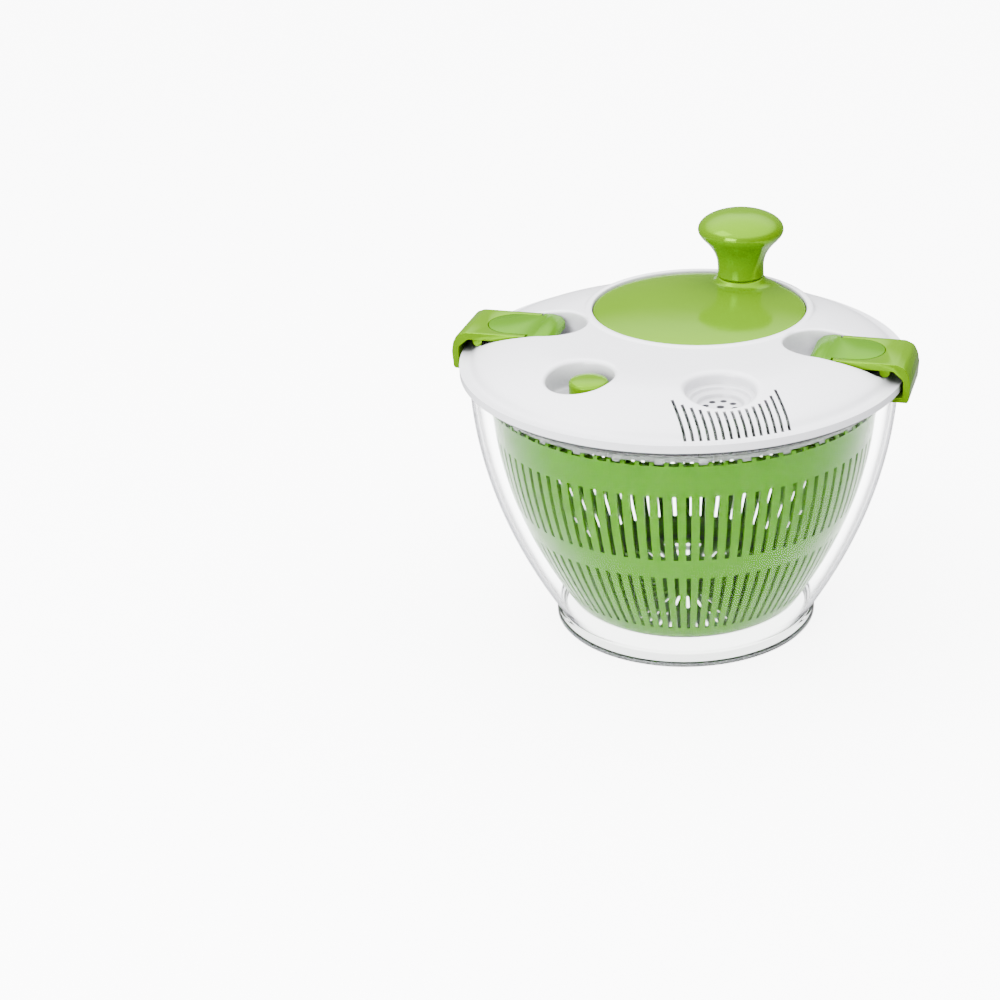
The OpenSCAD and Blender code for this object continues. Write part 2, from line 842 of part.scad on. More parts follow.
module brake_stem() {
    color([0.93, 0.93, 0.92])
    translate([brake_x, brake_y, 0]) {
        translate([0, 0, pad_bottom + pad_t])
        cylinder(r = stem_r, h = button_top - 3.4 - pad_bottom - pad_t, $fn = 48);
        translate([0, 0, button_top - 4])
        cylinder(r = stem_r - 0.8, h = 2.6, $fn = 32);
        translate([0, 0, pad_bottom + pad_t - 1.6])
        cylinder(r = stem_r - 0.8, h = 2.6, $fn = 32);
    }
}

module brake_pad() {
    color([0.2, 0.2, 0.2])
    translate([brake_x, brake_y, pad_bottom])
    difference() {
        cylinder(r = stem_r + 3.5, h = pad_t, $fn = 48);
        translate([0, 0, pad_t - 1.6])
        cylinder(r = stem_r - 0.8, h = 4, $fn = 32);
    }
}

module brake_clip() {
    color([0.75, 0.76, 0.78])
    translate([brake_x, brake_y, brake_floor - brake_floor_t - 0.1 - clip_t])
    difference() {
        cylinder(r = stem_r + 2, h = clip_t, $fn = 48);
        translate([0, 0, -1])
        cylinder(r = stem_r, h = clip_t + 2, $fn = 48);
    }
}

// A round wire coil drawn as a stack of closed turns joined by a strip
module coil_stack(coil_r, turns, height) {
    for (i = [0:turns - 1])
        translate([0, 0, spring_wire_r + i * (height - 2 * spring_wire_r) / (turns - 1)])
        rotate_extrude($fn = 32)
        translate([coil_r, 0])
        circle(r = spring_wire_r, $fn = 16);
    translate([coil_r - spring_wire_r / 2, -spring_wire_r, spring_wire_r])
    cube([spring_wire_r, 2 * spring_wire_r, height - 2 * spring_wire_r]);
}

module brake_spring() {
    color([0.75, 0.76, 0.78])
    translate([brake_x, brake_y, brake_floor])
    coil_stack(stem_r + 2, brake_coils, button_top - 3.4 - brake_floor);
}

// Outline of the pad's tongue seen from above, grown by g
module tongue(g) {
    translate([latch_split - 4, -tongue_w / 2 - g])
    square([tongue_end - tongue_w / 2 - latch_split + 4, tongue_w + 2 * g]);
    translate([tongue_end - tongue_w / 2, 0])
    circle(r = tongue_w / 2 + g, $fn = 64);
}

module latch_hook() {
    t = latch_top;
    relief_z = pin_z + lug_r + 0.5;
    difference() {
        union() {
            translate([0, latch_w / 2, 0])
            rotate([90, 0, 0])
            linear_extrude(latch_w)
            polygon([[latch_split + 0.3, t], [latch_outer - 8.6, t],
                [latch_outer - 4.2, t - 1.8], [latch_outer - 1.2, t - 6],
                [latch_outer, t - 12], [latch_outer - 0.8, toe_bottom + 0.6],
                [latch_outer - 1.6, toe_bottom], [toe_r - 6, toe_bottom],
                [toe_r - 6, toe_top - 2.6], [toe_r, toe_top - 1.2],
                [toe_r + 2.2, toe_top - 0.2], [hook_in, toe_top],
                [hook_in, latch_bottom - 5.6], [hook_in - 2.4, latch_bottom - 2.2],
                [hook_in - 6, latch_bottom], [latch_split + 0.3, latch_bottom]]);
            for (s = [-1, 1])
                translate([pin_x, s * (lug_in + lug_w + 0.3 + knuckle_w / 2), pin_z])
                rotate([90, 0, 0])
                translate([0, 0, -knuckle_w / 2])
                union() {
                    cylinder(r = lug_r + 0.2, h = knuckle_w, $fn = 32);
                    translate([-lug_r - 0.2, 0, 0])
                    cube([2 * lug_r + 0.4, latch_bottom - pin_z + 0.5, knuckle_w]);
                }
        }
        translate([0, 0, toe_bottom - 1])
        cylinder(r = toe_r, h = toe_top + 2 - toe_bottom, $fn = 160);
        translate([0, 0, t - tongue_t])
        linear_extrude(10)
        tongue(0.25);
        translate([pin_x - lug_r - 0.7, -lug_in - lug_w - 0.3, latch_bottom - 4])
        cube([2 * lug_r + 1.4, 2 * (lug_in + lug_w + 0.3), relief_z - latch_bottom + 4]);
        translate([pin_x, latch_w, pin_z])
        rotate([90, 0, 0])
        cylinder(r = latch_pin_r + run_gap, h = 2 * latch_w, $fn = 32);
    }
}

module latch_pad() {
    t = latch_top;
    i = latch_inner;
    translate([0, latch_w / 2, 0])
    rotate([90, 0, 0])
    linear_extrude(latch_w)
    polygon([[i, t - 5.4], [i + 0.4, t - 3.6], [i + 2, t - 1.8], [i + 5, t - 0.6],
        [i + 9, t], [latch_split, t], [latch_split, latch_bottom],
        [i + 6, latch_bottom - 0.6], [i + 0.6, latch_bottom - 1.6]]);
    translate([0, 0, t - tongue_t])
    linear_extrude(tongue_t)
    tongue(0);
}

module latch_pin() {
    half = lug_in + lug_w + knuckle_w + 0.2;
    translate([pin_x, half, pin_z])
    rotate([90, 0, 0])
    cylinder(r = latch_pin_r, h = 2 * half, $fn = 32);
}

// Torsion spring: turns round the pin and two legs
module latch_spring() {
    leg = 6;
    coil_r = latch_pin_r + 0.1 + spring_wire_r;
    translate([pin_x, lug_in - 1, pin_z])
    rotate([90, 0, 0])
    coil_stack(coil_r, 6, 2 * lug_in - 2);
    for (s = [-1, 1])
        translate([pin_x - 0.2, s * (lug_in - 1.4), pin_z - coil_r])
        rotate([0, -90, 0])
        cylinder(r = spring_wire_r, h = leg, $fn = 16);
}

module latch_hook_right() {
    color([0.56, 0.76, 0.12])
    latch_hook();
}

module latch_pad_right() {
    color([0.62, 0.8, 0.2])
    latch_pad();
}

module latch_pin_right() {
    color([0.75, 0.76, 0.78])
    latch_pin();
}

module latch_spring_right() {
    color([0.75, 0.76, 0.78])
    latch_spring();
}

module latch_hook_left() {
    mirror([1, 0, 0])
    latch_hook_right();
}

module latch_pad_left() {
    mirror([1, 0, 0])
    latch_pad_right();
}

module latch_pin_left() {
    mirror([1, 0, 0])
    latch_pin_right();
}

module latch_spring_left() {
    mirror([1, 0, 0])
    latch_spring_right();
}

bowl();
base_grip_ring();
basket();
lid_cover();
gear_housing();
housing_screws();
crank_bush();
drive_bush();
crank_disc();
ring_gear();
disc_screws();
crank_axle();
crank_washer();
crank_screw();
knob_spindle();
knob_screw();
knob();
drive_pinion();
drive_plate();
drive_screw();
brake_button();
brake_stem();
brake_pad();
brake_clip();
brake_spring();
latch_hook_right();
latch_pad_right();
latch_pin_right();
latch_spring_right();
latch_hook_left();
latch_pad_left();
latch_pin_left();
latch_spring_left();
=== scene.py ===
import math
import bpy
import bmesh
import numpy as np
from mathutils import Vector, Matrix
from mathutils.geometry import delaunay_2d_cdt
from mathutils.kdtree import KDTree


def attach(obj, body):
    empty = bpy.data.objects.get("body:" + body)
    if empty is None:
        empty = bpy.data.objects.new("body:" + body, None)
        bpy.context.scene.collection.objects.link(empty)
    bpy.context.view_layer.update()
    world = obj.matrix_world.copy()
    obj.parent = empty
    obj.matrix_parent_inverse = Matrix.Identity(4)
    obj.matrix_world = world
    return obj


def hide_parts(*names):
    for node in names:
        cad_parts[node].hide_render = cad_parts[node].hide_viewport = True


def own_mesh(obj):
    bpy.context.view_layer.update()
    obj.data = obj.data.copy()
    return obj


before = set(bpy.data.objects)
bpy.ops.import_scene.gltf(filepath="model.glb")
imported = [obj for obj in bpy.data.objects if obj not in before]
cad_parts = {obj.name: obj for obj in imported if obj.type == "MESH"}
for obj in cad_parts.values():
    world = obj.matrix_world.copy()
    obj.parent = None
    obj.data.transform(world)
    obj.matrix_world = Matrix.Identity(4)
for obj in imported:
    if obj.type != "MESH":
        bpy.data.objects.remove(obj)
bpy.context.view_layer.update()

MM = 0.001

# ---------------------------------------------------------------- sizes, mm
FOOT_R, FOOT_H = 75.6, 8.0
BOWL_R, BOWL_H, BOWL_WALL = 120.8, 154.5, 2.6
LIP_R = 123.4
LIP_IN, LIP_LOW, LIP_TOP = 121.2, 150.1, 154.45    # where the lip is painted dark, a painted shadow under the lid's rim
FOOT_IN = 70.0                                     # where the foot is painted grey, as painted shade about the foot
BASKET_R, BASKET_FLOOR_R = 109.0, 66.0
BASKET_LOW, BASKET_TOP, BASKET_WALL = 13.3, 142.0, 2.0
SLOTS, SLOT_SHARE = 90, 0.38
SLOT_LOW, SLOT_MID, SLOT_MID2, SLOT_HIGH = 24.0, 65.75, 78.75, 120.5
CRANK_Y = 40.5
WELL_R = 61.8
FUNNEL = (36.5, -73.0)
BRAKE = (-41.0, -71.0)
BUTTON = (-36.5, -70.0)
SPRING_LOW, SPRING_HIGH = 157.0, 166.1
KNOB_ANGLE, KNOB_REACH = 69.6, 45.0
KNOB = (KNOB_REACH * math.cos(math.radians(KNOB_ANGLE)),
        CRANK_Y + KNOB_REACH * math.sin(math.radians(KNOB_ANGLE)))
LATCH_IN, LATCH_SPLIT = 72.6, 86.4
LATCH_TOP, LATCH_T, LATCH_HALF = 170.0, 4.2, 19.5
SCOOP_X, RECESS_HALF = 77.0, 20.3


def bowl_at(z):
    u = (z - FOOT_H) / (BOWL_H - FOOT_H)
    return FOOT_R - 1.6 + (BOWL_R - FOOT_R + 1.6) * (1 - (1 - u) ** 2)


def basket_at(z):
    u = (z - BASKET_LOW) / (BASKET_TOP - BASKET_LOW)
    return BASKET_FLOOR_R + (BASKET_R - BASKET_FLOOR_R) * (1 - (1 - u) ** 2)


# ------------------------------------------------------------- mesh helpers
def make(name, verts, faces, smooth=True, angle=None):
    """Object from points in mm; edges sharper than `angle` degrees stay sharp."""
    me = bpy.data.meshes.new(name)
    me.from_pydata([tuple(float(c) * MM for c in v) for v in verts], [],
                   [tuple(int(i) for i in f) for f in faces])
    me.validate()
    me.update()
    ob = bpy.data.objects.new(name, me)
    bpy.context.scene.collection.objects.link(ob)
    if smooth:
        me.shade_smooth()
        if angle is not None:
            me.set_sharp_from_angle(angle=math.radians(angle))
    return ob


def fix_normals(ob):
    """Merges points that coincide and turns every face outwards."""
    bm = bmesh.new()
    bm.from_mesh(ob.data)
    bmesh.ops.remove_doubles(bm, verts=bm.verts, dist=1e-6)
    bmesh.ops.recalc_face_normals(bm, faces=bm.faces)
    bm.to_mesh(ob.data)
    bm.free()


def apply_mods(ob):
    """Bakes the modifiers into the mesh."""
    dg = bpy.context.evaluated_depsgraph_get()
    me = bpy.data.meshes.new_from_object(ob.evaluated_get(dg))
    ob.modifiers.clear()
    old = ob.data
    ob.data = me
    bpy.data.meshes.remove(old)


def fillet(points, steps=5):
    """Rounds the corners of a closed outline of (x, y) or (x, y, radius)."""
    out = []
    n = len(points)
    for i in range(n):
        p = np.array(points[i][:2], float)
        rad = points[i][2] if len(points[i]) > 2 else 0
        a = np.array(points[i - 1][:2], float) - p
        b = np.array(points[(i + 1) % n][:2], float) - p
        la, lb = np.linalg.norm(a), np.linalg.norm(b)
        if rad <= 0 or la < 1e-9 or lb < 1e-9:
            out.append(tuple(p))
            continue
        a, b = a / la, b / lb
        half = math.acos(max(-1, min(1, float(a @ b)))) / 2
        if half > math.radians(88):
            out.append(tuple(p))
            continue
        t = min(rad / math.tan(half), la * 0.48, lb * 0.48)
        rr = t * math.tan(half)
        c = p + (a + b) / np.linalg.norm(a + b) * rr / math.sin(half)
        s, e = p + a * t - c, p + b * t - c
        turn = math.atan2(s[0] * e[1] - s[1] * e[0], float(s @ e))
        for k in range(steps + 1):
            q = turn * k / steps
            out.append((c[0] + s[0] * math.cos(q) - s[1] * math.sin(q),
                        c[1] + s[0] * math.sin(q) + s[1] * math.cos(q)))
    return out


def lathe(name, outline, seg=192, at=(0.0, 0.0), closed=True, angle=40):
    """Turns an outline of (r, z) about the vertical through `at`."""
    verts, faces = [], []
    n = len(outline)
    rings = []
    for r, z in outline:
        if r < 1e-6:
            rings.append([len(verts)])
            verts.append((at[0], at[1], z))
        else:
            rings.append(list(range(len(verts), len(verts) + seg)))
            for k in range(seg):
                a = 2 * math.pi * k / seg
                verts.append((at[0] + r * math.cos(a), at[1] + r * math.sin(a), z))
    for i in range(n if closed else n - 1):
        a, b = rings[i], rings[(i + 1) % n]
        for k in range(seg):
            k2 = (k + 1) % seg
            quad = [a[k % len(a)], a[k2 % len(a)], b[k2 % len(b)], b[k % len(b)]]
            quad = list(dict.fromkeys(quad))
            if len(quad) > 2:
                faces.append(quad)
    ob = make(name, verts, faces, True, None)
    fix_normals(ob)
    if angle is not None:
        ob.data.set_sharp_from_angle(angle=math.radians(angle))
    return ob


def spline(points, per=6):
    """Catmull-Rom curve through (x, y) points."""
    p = [np.array(q, float) for q in points]
    p = [2 * p[0] - p[1]] + p + [2 * p[-1] - p[-2]]
    out = []
    for i in range(1, len(p) - 2):
        for k in range(per):
            t = k / per
            a, b, c, d = p[i - 1], p[i], p[i + 1], p[i + 2]
            out.append(tuple(0.5 * (2 * b + (c - a) * t + (2 * a - 5 * b + 4 * c - d) * t * t
                                    + (3 * b - a - 3 * c + d) * t ** 3)))
    out.append(tuple(p[-2]))
    return out


def pchip(px, py, x):
    """Monotone cubic curve through (px, py) at x, with flat ends beyond."""
    px, py, x = (np.asarray(v, float) for v in (px, py, x))
    h = np.diff(px)
    d = np.diff(py) / h
    m = np.zeros(len(px))
    for i in range(1, len(px) - 1):
        if d[i - 1] * d[i] > 0:
            w1, w2 = 2 * h[i] + h[i - 1], h[i] + 2 * h[i - 1]
            m[i] = (w1 + w2) / (w1 / d[i - 1] + w2 / d[i])
    m[-1] = d[-1]
    x = np.clip(x, px[0], px[-1])
    i = np.clip(np.searchsorted(px, x) - 1, 0, len(h) - 1)
    t = (x - px[i]) / h[i]
    return ((2 * t ** 3 - 3 * t ** 2 + 1) * py[i] + (t ** 3 - 2 * t ** 2 + t) * h[i] * m[i]
            + (-2 * t ** 3 + 3 * t ** 2) * py[i + 1] + (t ** 3 - t ** 2) * h[i] * m[i + 1])


def circle(cx, cy, r, step, turn=0.0):
    """Points about `step` apart round a circle."""
    n = max(10, int(round(2 * math.pi * r / step)))
    return [(cx + r * math.cos(turn + 2 * math.pi * k / n),
             cy + r * math.sin(turn + 2 * math.pi * k / n)) for k in range(n)]


def plate(name, loops, lines, spots, keep, top, under, angle=35):
    """Closed shell between two heights over an outline.  `loops` and `lines`
    are closed and open guide lines, `spots` loose points, `keep` says which
    triangles belong, and `top` and `under` give the two heights."""
    pts, edges = [], []
    for closed, group in ((True, loops), (False, lines)):
        for loop in group:
            n0, n = len(pts), len(loop)
            pts += loop
            edges += [(n0 + k, n0 + (k + 1) % n) for k in range(n if closed else n - 1)]
    pts += spots
    out = delaunay_2d_cdt([Vector((p[0], p[1])) for p in pts], edges, [], 0, 1e-4)
    xy = np.array([tuple(v) for v in out[0]])
    tri = np.array([tuple(f) for f in out[2]])
    mid = xy[tri].mean(1)
    tri = tri[keep(mid[:, 0], mid[:, 1])]
    used = np.unique(tri)
    remap = np.full(len(xy), -1)
    remap[used] = np.arange(len(used))
    xy, tri = xy[used], remap[tri]
    a, b, c = xy[tri[:, 0]], xy[tri[:, 1]], xy[tri[:, 2]]
    turn = (b[:, 0] - a[:, 0]) * (c[:, 1] - a[:, 1]) - (b[:, 1] - a[:, 1]) * (c[:, 0] - a[:, 0])
    tri[turn < 0] = tri[turn < 0][:, ::-1]
    n = len(xy)
    zt, zu = top(xy[:, 0], xy[:, 1]), under(xy[:, 0], xy[:, 1])
    zu = np.minimum(zu, zt - 0.4)
    verts = np.concatenate([np.column_stack([xy, zt]), np.column_stack([xy, zu])])
    seen = {}
    for f in tri:
        for k in range(3):
            seen[(f[k], f[(k + 1) % 3])] = True
    rim = [(p, q) for p, q in seen if (q, p) not in seen]
    faces = [tuple(f) for f in tri] + [tuple(f[::-1] + n) for f in tri]
    faces += [(q, p, p + n, q + n) for p, q in rim]
    ob = make(name, verts, faces, True, None)
    ob.data.set_sharp_from_angle(angle=math.radians(angle))
    return ob


def scatter(rings, guides, gap):
    """Points of the rings that stand at least `gap` from every guide point."""
    flat = [p for g in guides for p in g]
    tree = KDTree(len(flat))
    for i, p in enumerate(flat):
        tree.insert((p[0], p[1], 0), i)
    tree.balance()
    return [p for ring in rings for p in ring if tree.find((p[0], p[1], 0))[2] > gap]


def extrude(name, outline, y0, y1, angle=30):
    """Solid with an (x, z) outline between two values of y."""
    n = len(outline)
    verts = [(x, y0, z) for x, z in outline] + [(x, y1, z) for x, z in outline]
    faces = [tuple(range(n)), tuple(range(2 * n - 1, n - 1, -1))]
    faces += [(k, k + n, (k + 1) % n + n, (k + 1) % n) for k in range(n)]
    ob = make(name, verts, faces, True, None)
    fix_normals(ob)
    ob.data.set_sharp_from_angle(angle=math.radians(angle))
    return ob


def prism(name, outline, z0, z1):
    """Solid with an (x, y) outline between two heights."""
    n = len(outline)
    verts = [(x, y, z0) for x, y in outline] + [(x, y, z1) for x, y in outline]
    faces = [tuple(range(n)), tuple(range(2 * n - 1, n - 1, -1))]
    faces += [(k, k + n, (k + 1) % n + n, (k + 1) % n) for k in range(n)]
    ob = make(name, verts, faces, True, None)
    fix_normals(ob)
    return ob


def cut(ob, tool, kind="DIFFERENCE"):
    """Boolean of two objects; the tool is used up."""
    mod = ob.modifiers.new("cut", "BOOLEAN")
    mod.operation, mod.object, mod.solver = kind, tool, "EXACT"
    apply_mods(ob)
    me = tool.data
    bpy.data.objects.remove(tool)
    bpy.data.meshes.remove(me)


def bevel(ob, width, segments=3, angle=30):
    """Rounds the edges sharper than `angle`, by `width` mm."""
    mod = ob.modifiers.new("bevel", "BEVEL")
    mod.width, mod.segments = width * MM, segments
    mod.limit_method, mod.angle_limit = "ANGLE", math.radians(angle)
    mod.harden_normals = False
    apply_mods(ob)
    ob.data.shade_smooth()
    ob.data.set_sharp_from_angle(angle=math.radians(angle))


def join(name, parts):
    """One object from several, in place."""
    bm = bmesh.new()
    for p in parts:
        bm.from_mesh(p.data)
    me = bpy.data.meshes.new(name)
    bm.to_mesh(me)
    bm.free()
    for p in parts:
        old = p.data
        bpy.data.objects.remove(p)
        bpy.data.meshes.remove(old)
    ob = bpy.data.objects.new(name, me)
    bpy.context.scene.collection.objects.link(ob)
    return ob


# ---------------------------------------------------------------- materials
def material(name, colour, rough=0.25, spread=0.04, shade=0.05, scale=60.0,
             bump=0.02, **sockets):
    """Plastic or metal whose colour and gloss drift a little over the part."""
    mat = bpy.data.materials.new(name)
    mat.use_nodes = True
    nt = mat.node_tree
    bsdf = nt.nodes["Principled BSDF"]
    coord = nt.nodes.new("ShaderNodeTexCoord")
    noise = nt.nodes.new("ShaderNodeTexNoise")
    noise.inputs["Scale"].default_value = scale
    noise.inputs["Detail"].default_value = 3.0
    nt.links.new(coord.outputs["Object"], noise.inputs["Vector"])
    ramp = nt.nodes.new("ShaderNodeMix")
    ramp.data_type = "RGBA"
    ramp.inputs[6].default_value = tuple(c * (1 - shade) for c in colour) + (1,)
    ramp.inputs[7].default_value = tuple(min(1.0, c * (1 + shade)) for c in colour) + (1,)
    nt.links.new(noise.outputs["Fac"], ramp.inputs[0])
    nt.links.new(ramp.outputs[2], bsdf.inputs["Base Color"])
    gloss = nt.nodes.new("ShaderNodeMapRange")
    gloss.inputs["To Min"].default_value = max(0.0, rough - spread)
    gloss.inputs["To Max"].default_value = rough + spread
    nt.links.new(noise.outputs["Fac"], gloss.inputs["Value"])
    nt.links.new(gloss.outputs["Result"], bsdf.inputs["Roughness"])
    if bump:
        fine = nt.nodes.new("ShaderNodeTexNoise")
        fine.inputs["Scale"].default_value = scale * 12
        nt.links.new(coord.outputs["Object"], fine.inputs["Vector"])
        lift = nt.nodes.new("ShaderNodeBump")
        lift.inputs["Strength"].default_value = bump
        lift.inputs["Distance"].default_value = 0.0002
        nt.links.new(fine.outputs["Fac"], lift.inputs["Height"])
        nt.links.new(lift.outputs["Normal"], bsdf.inputs["Normal"])
    for key, value in sockets.items():
        bsdf.inputs[key.replace("_", " ")].default_value = value
    return mat


GREEN = (0.104, 0.240, 0.0003)


def clear(name, colour, rough, painted_outline_shade):
    """Clear plastic whose colour is painted dark grey towards its outline: a painted shade
    standing in for the dark refraction at thick edges.
    """
    mat = material(name, colour, rough, 0.008, 0.004, 20, 0,
                   Transmission_Weight=1.0, IOR=1.08, Specular_IOR_Level=0.2)
    nt = mat.node_tree
    bsdf = nt.nodes["Principled BSDF"]
    old = bsdf.inputs["Base Color"].links[0].from_socket
    facing = nt.nodes.new("ShaderNodeLayerWeight")
    facing.inputs["Blend"].default_value = 0.5
    level = nt.nodes.new("ShaderNodeMapRange")
    level.interpolation_type = "SMOOTHSTEP"
    level.inputs["From Min"].default_value = 0.70
    level.inputs["From Max"].default_value = 0.85
    # painted shade: the colour turns dark towards the outline
    outline_shade_mix = nt.nodes.new("ShaderNodeMix")
    outline_shade_mix.data_type = "RGBA"
    outline_shade_mix.inputs[7].default_value = painted_outline_shade
    nt.links.new(facing.outputs["Facing"], level.inputs["Value"])
    nt.links.new(level.outputs["Result"], outline_shade_mix.inputs[0])
    nt.links.new(old, outline_shade_mix.inputs[6])
    nt.links.new(outline_shade_mix.outputs[2], bsdf.inputs["Base Color"])
    return mat


def shade_hollows(mat, reach):
    """Paints shade into the colour: darkens it where the surface stands in a hollow or a slot."""
    nt = mat.node_tree
    base = nt.nodes["Principled BSDF"].inputs["Base Color"]
    hollow = nt.nodes.new("ShaderNodeAmbientOcclusion")
    hollow.samples = 8
    hollow.inputs["Distance"].default_value = reach
    nt.links.new(base.links[0].from_socket, hollow.inputs["Color"])
    nt.links.new(hollow.outputs["Color"], base)


MATS = {
    "green_gloss": material("green_gloss", GREEN, 0.14, 0.03, 0.03, 30, 0.01,
                            Specular_IOR_Level=0.02, Metallic=0.35),
    "pad_green": material("pad_green", (0.070, 0.205, 0.0004), 0.24, 0.03, 0.03, 30, 0.02,
                          Specular_IOR_Level=0.02, Metallic=0.35),
    "basket_green": material("basket_green", (0.021, 0.086, 0.0002), 0.25, 0.03, 0.03, 30,
                             0.01, Specular_IOR_Level=0.04),
    # painted shadow: dark green for the basket's bottom edge
    "basket_painted_shadow": material("basket_painted_shadow", (0.012, 0.03, 0.004), 0.4, 0.03, 0.03, 30, 0.01,
                             Specular_IOR_Level=0.04),
    "white_gloss": material("white_gloss", (0.80, 0.80, 0.83), 0.3, 0.04, 0.01, 30, 0.01,
                            Coat_Weight=0.35, Coat_Roughness=0.12),
    # painted shade: dark grey for the lid's slot and hole walls
    "slot_wall_painted_shade": material("slot_wall_painted_shade", (0.10, 0.10, 0.11), 0.5, 0.04, 0.01, 30, 0.01),
    "clear_bowl": clear("clear_bowl", (0.98, 0.985, 0.985), 0.012, (0.04, 0.04, 0.045, 1)),
    # painted shade: the clear foot made grey, standing in for the shade and contact shadow about
    # it
    "clear_foot_painted_shade": clear("clear_foot_painted_shade", (0.56, 0.57, 0.565), 0.03, (0.06, 0.06, 0.065, 1)),
    # painted shadow: the clear lip made dark where the lid's rim shades it
    "lip_painted_shadow": material("lip_painted_shadow", (0.06, 0.063, 0.065), 0.08, 0.02, 0.02, 20, 0,
                          Transmission_Weight=0.4, IOR=1.3),
    "clear_plate": material("clear_plate", (0.30, 0.33, 0.30), 0.15, 0.02, 0.02, 20, 0,
                            Transmission_Weight=0.7, IOR=1.2),
    "acetal": material("acetal", (0.85, 0.85, 0.83), 0.4, 0.05, 0.03, 60, 0.02),
    "rubber": material("rubber", (0.03, 0.03, 0.032), 0.75, 0.08, 0.15, 80, 0.1),
    # the grip ring's own grey, made darker as a painted contact shadow under the foot
    "grip": material("grip", (0.24, 0.25, 0.25), 0.6, 0.06, 0.06, 80, 0.06),
    "steel": material("steel", (0.62, 0.63, 0.65), 0.28, 0.06, 0.04, 90, 0.02, Metallic=1.0),
}
# painted shade in the lid's recesses, slots and underside
shade_hollows(MATS["white_gloss"], 0.022)


def finish_piece(ob, body, nodes, mat):
    ob.data.materials.clear()
    ob.data.materials.append(MATS[mat])
    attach(ob, body)
    if nodes:
        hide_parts(*nodes)
    return ob


def paint(ob, mat, where):
    """Gives a further material to the faces for which `where` holds, given a
    face's centre in mm and its normal."""
    ob.data.materials.append(MATS[mat])
    index = len(ob.data.materials) - 1
    for face in ob.data.polygons:
        if where(*(c / MM for c in face.center), face.normal):
            face.material_index = index


# --------------------------------------------------------------------- bowl
def build_bowl():
    outer = [(bowl_at(z), z) for z in np.linspace(9.5, 148.0, 60)]
    inner = [(bowl_at(z) - BOWL_WALL, z) for z in np.linspace(153.0, 12.5, 60)]
    outline = ([(FOOT_R, 0.9, 0.7), (FOOT_R, FOOT_H - 0.4, 1.2), (FOOT_R - 1.7, FOOT_H - 0.2, 0.5)]
               + outer
               + [(BOWL_R, 150.0, 1.0), (LIP_R, 151.3, 0.9), (LIP_R, BOWL_H, 0.9),
                  (BOWL_R - BOWL_WALL + 0.5, BOWL_H, 0.7)]
               + inner
               + [(72.0, 8.1, 3.0), (44.0, 8.0), (3.5, FOOT_H, 1.4), (3.5, 15.4, 0.5),
                  (2.2, 17.0, 0.6), (0.0, 17.0), (0.0, 5.4), (18.0, 5.4, 0.3),
                  (18.0, 3.8, 0.4), (20.0, 3.8, 0.4), (20.0, 5.4, 0.3), (44.0, 5.4, 0.3),
                  (44.0, 3.8, 0.4), (46.0, 3.8, 0.4), (46.0, 5.4, 0.3),
                  (FOOT_R - 4.4, 5.4, 0.8), (FOOT_R - 4.4, 0.9, 0.5),
                  (FOOT_R - 3.4, 0.9), (FOOT_R - 3.4, 2.25), (FOOT_R - 1.0, 2.25),
                  (FOOT_R - 1.0, 0.9)])
    return lathe("bowl_shell", fillet(outline, 5), 256, angle=40)


bowl = finish_piece(build_bowl(), "bowl", ["bowl"], "clear_bowl")
# the clear lip gets a dark material here: a painted shadow under the lid's rim
paint(bowl, "lip_painted_shadow",
      lambda x, y, z, n: z > LIP_TOP or (z > LIP_LOW and math.hypot(x, y) > LIP_IN))
# painted shade: the clear foot gets a grey colour in place of the shade about it
paint(bowl, "clear_foot_painted_shade", lambda x, y, z, n: z < FOOT_H + 0.2 and math.hypot(x, y) > FOOT_IN)


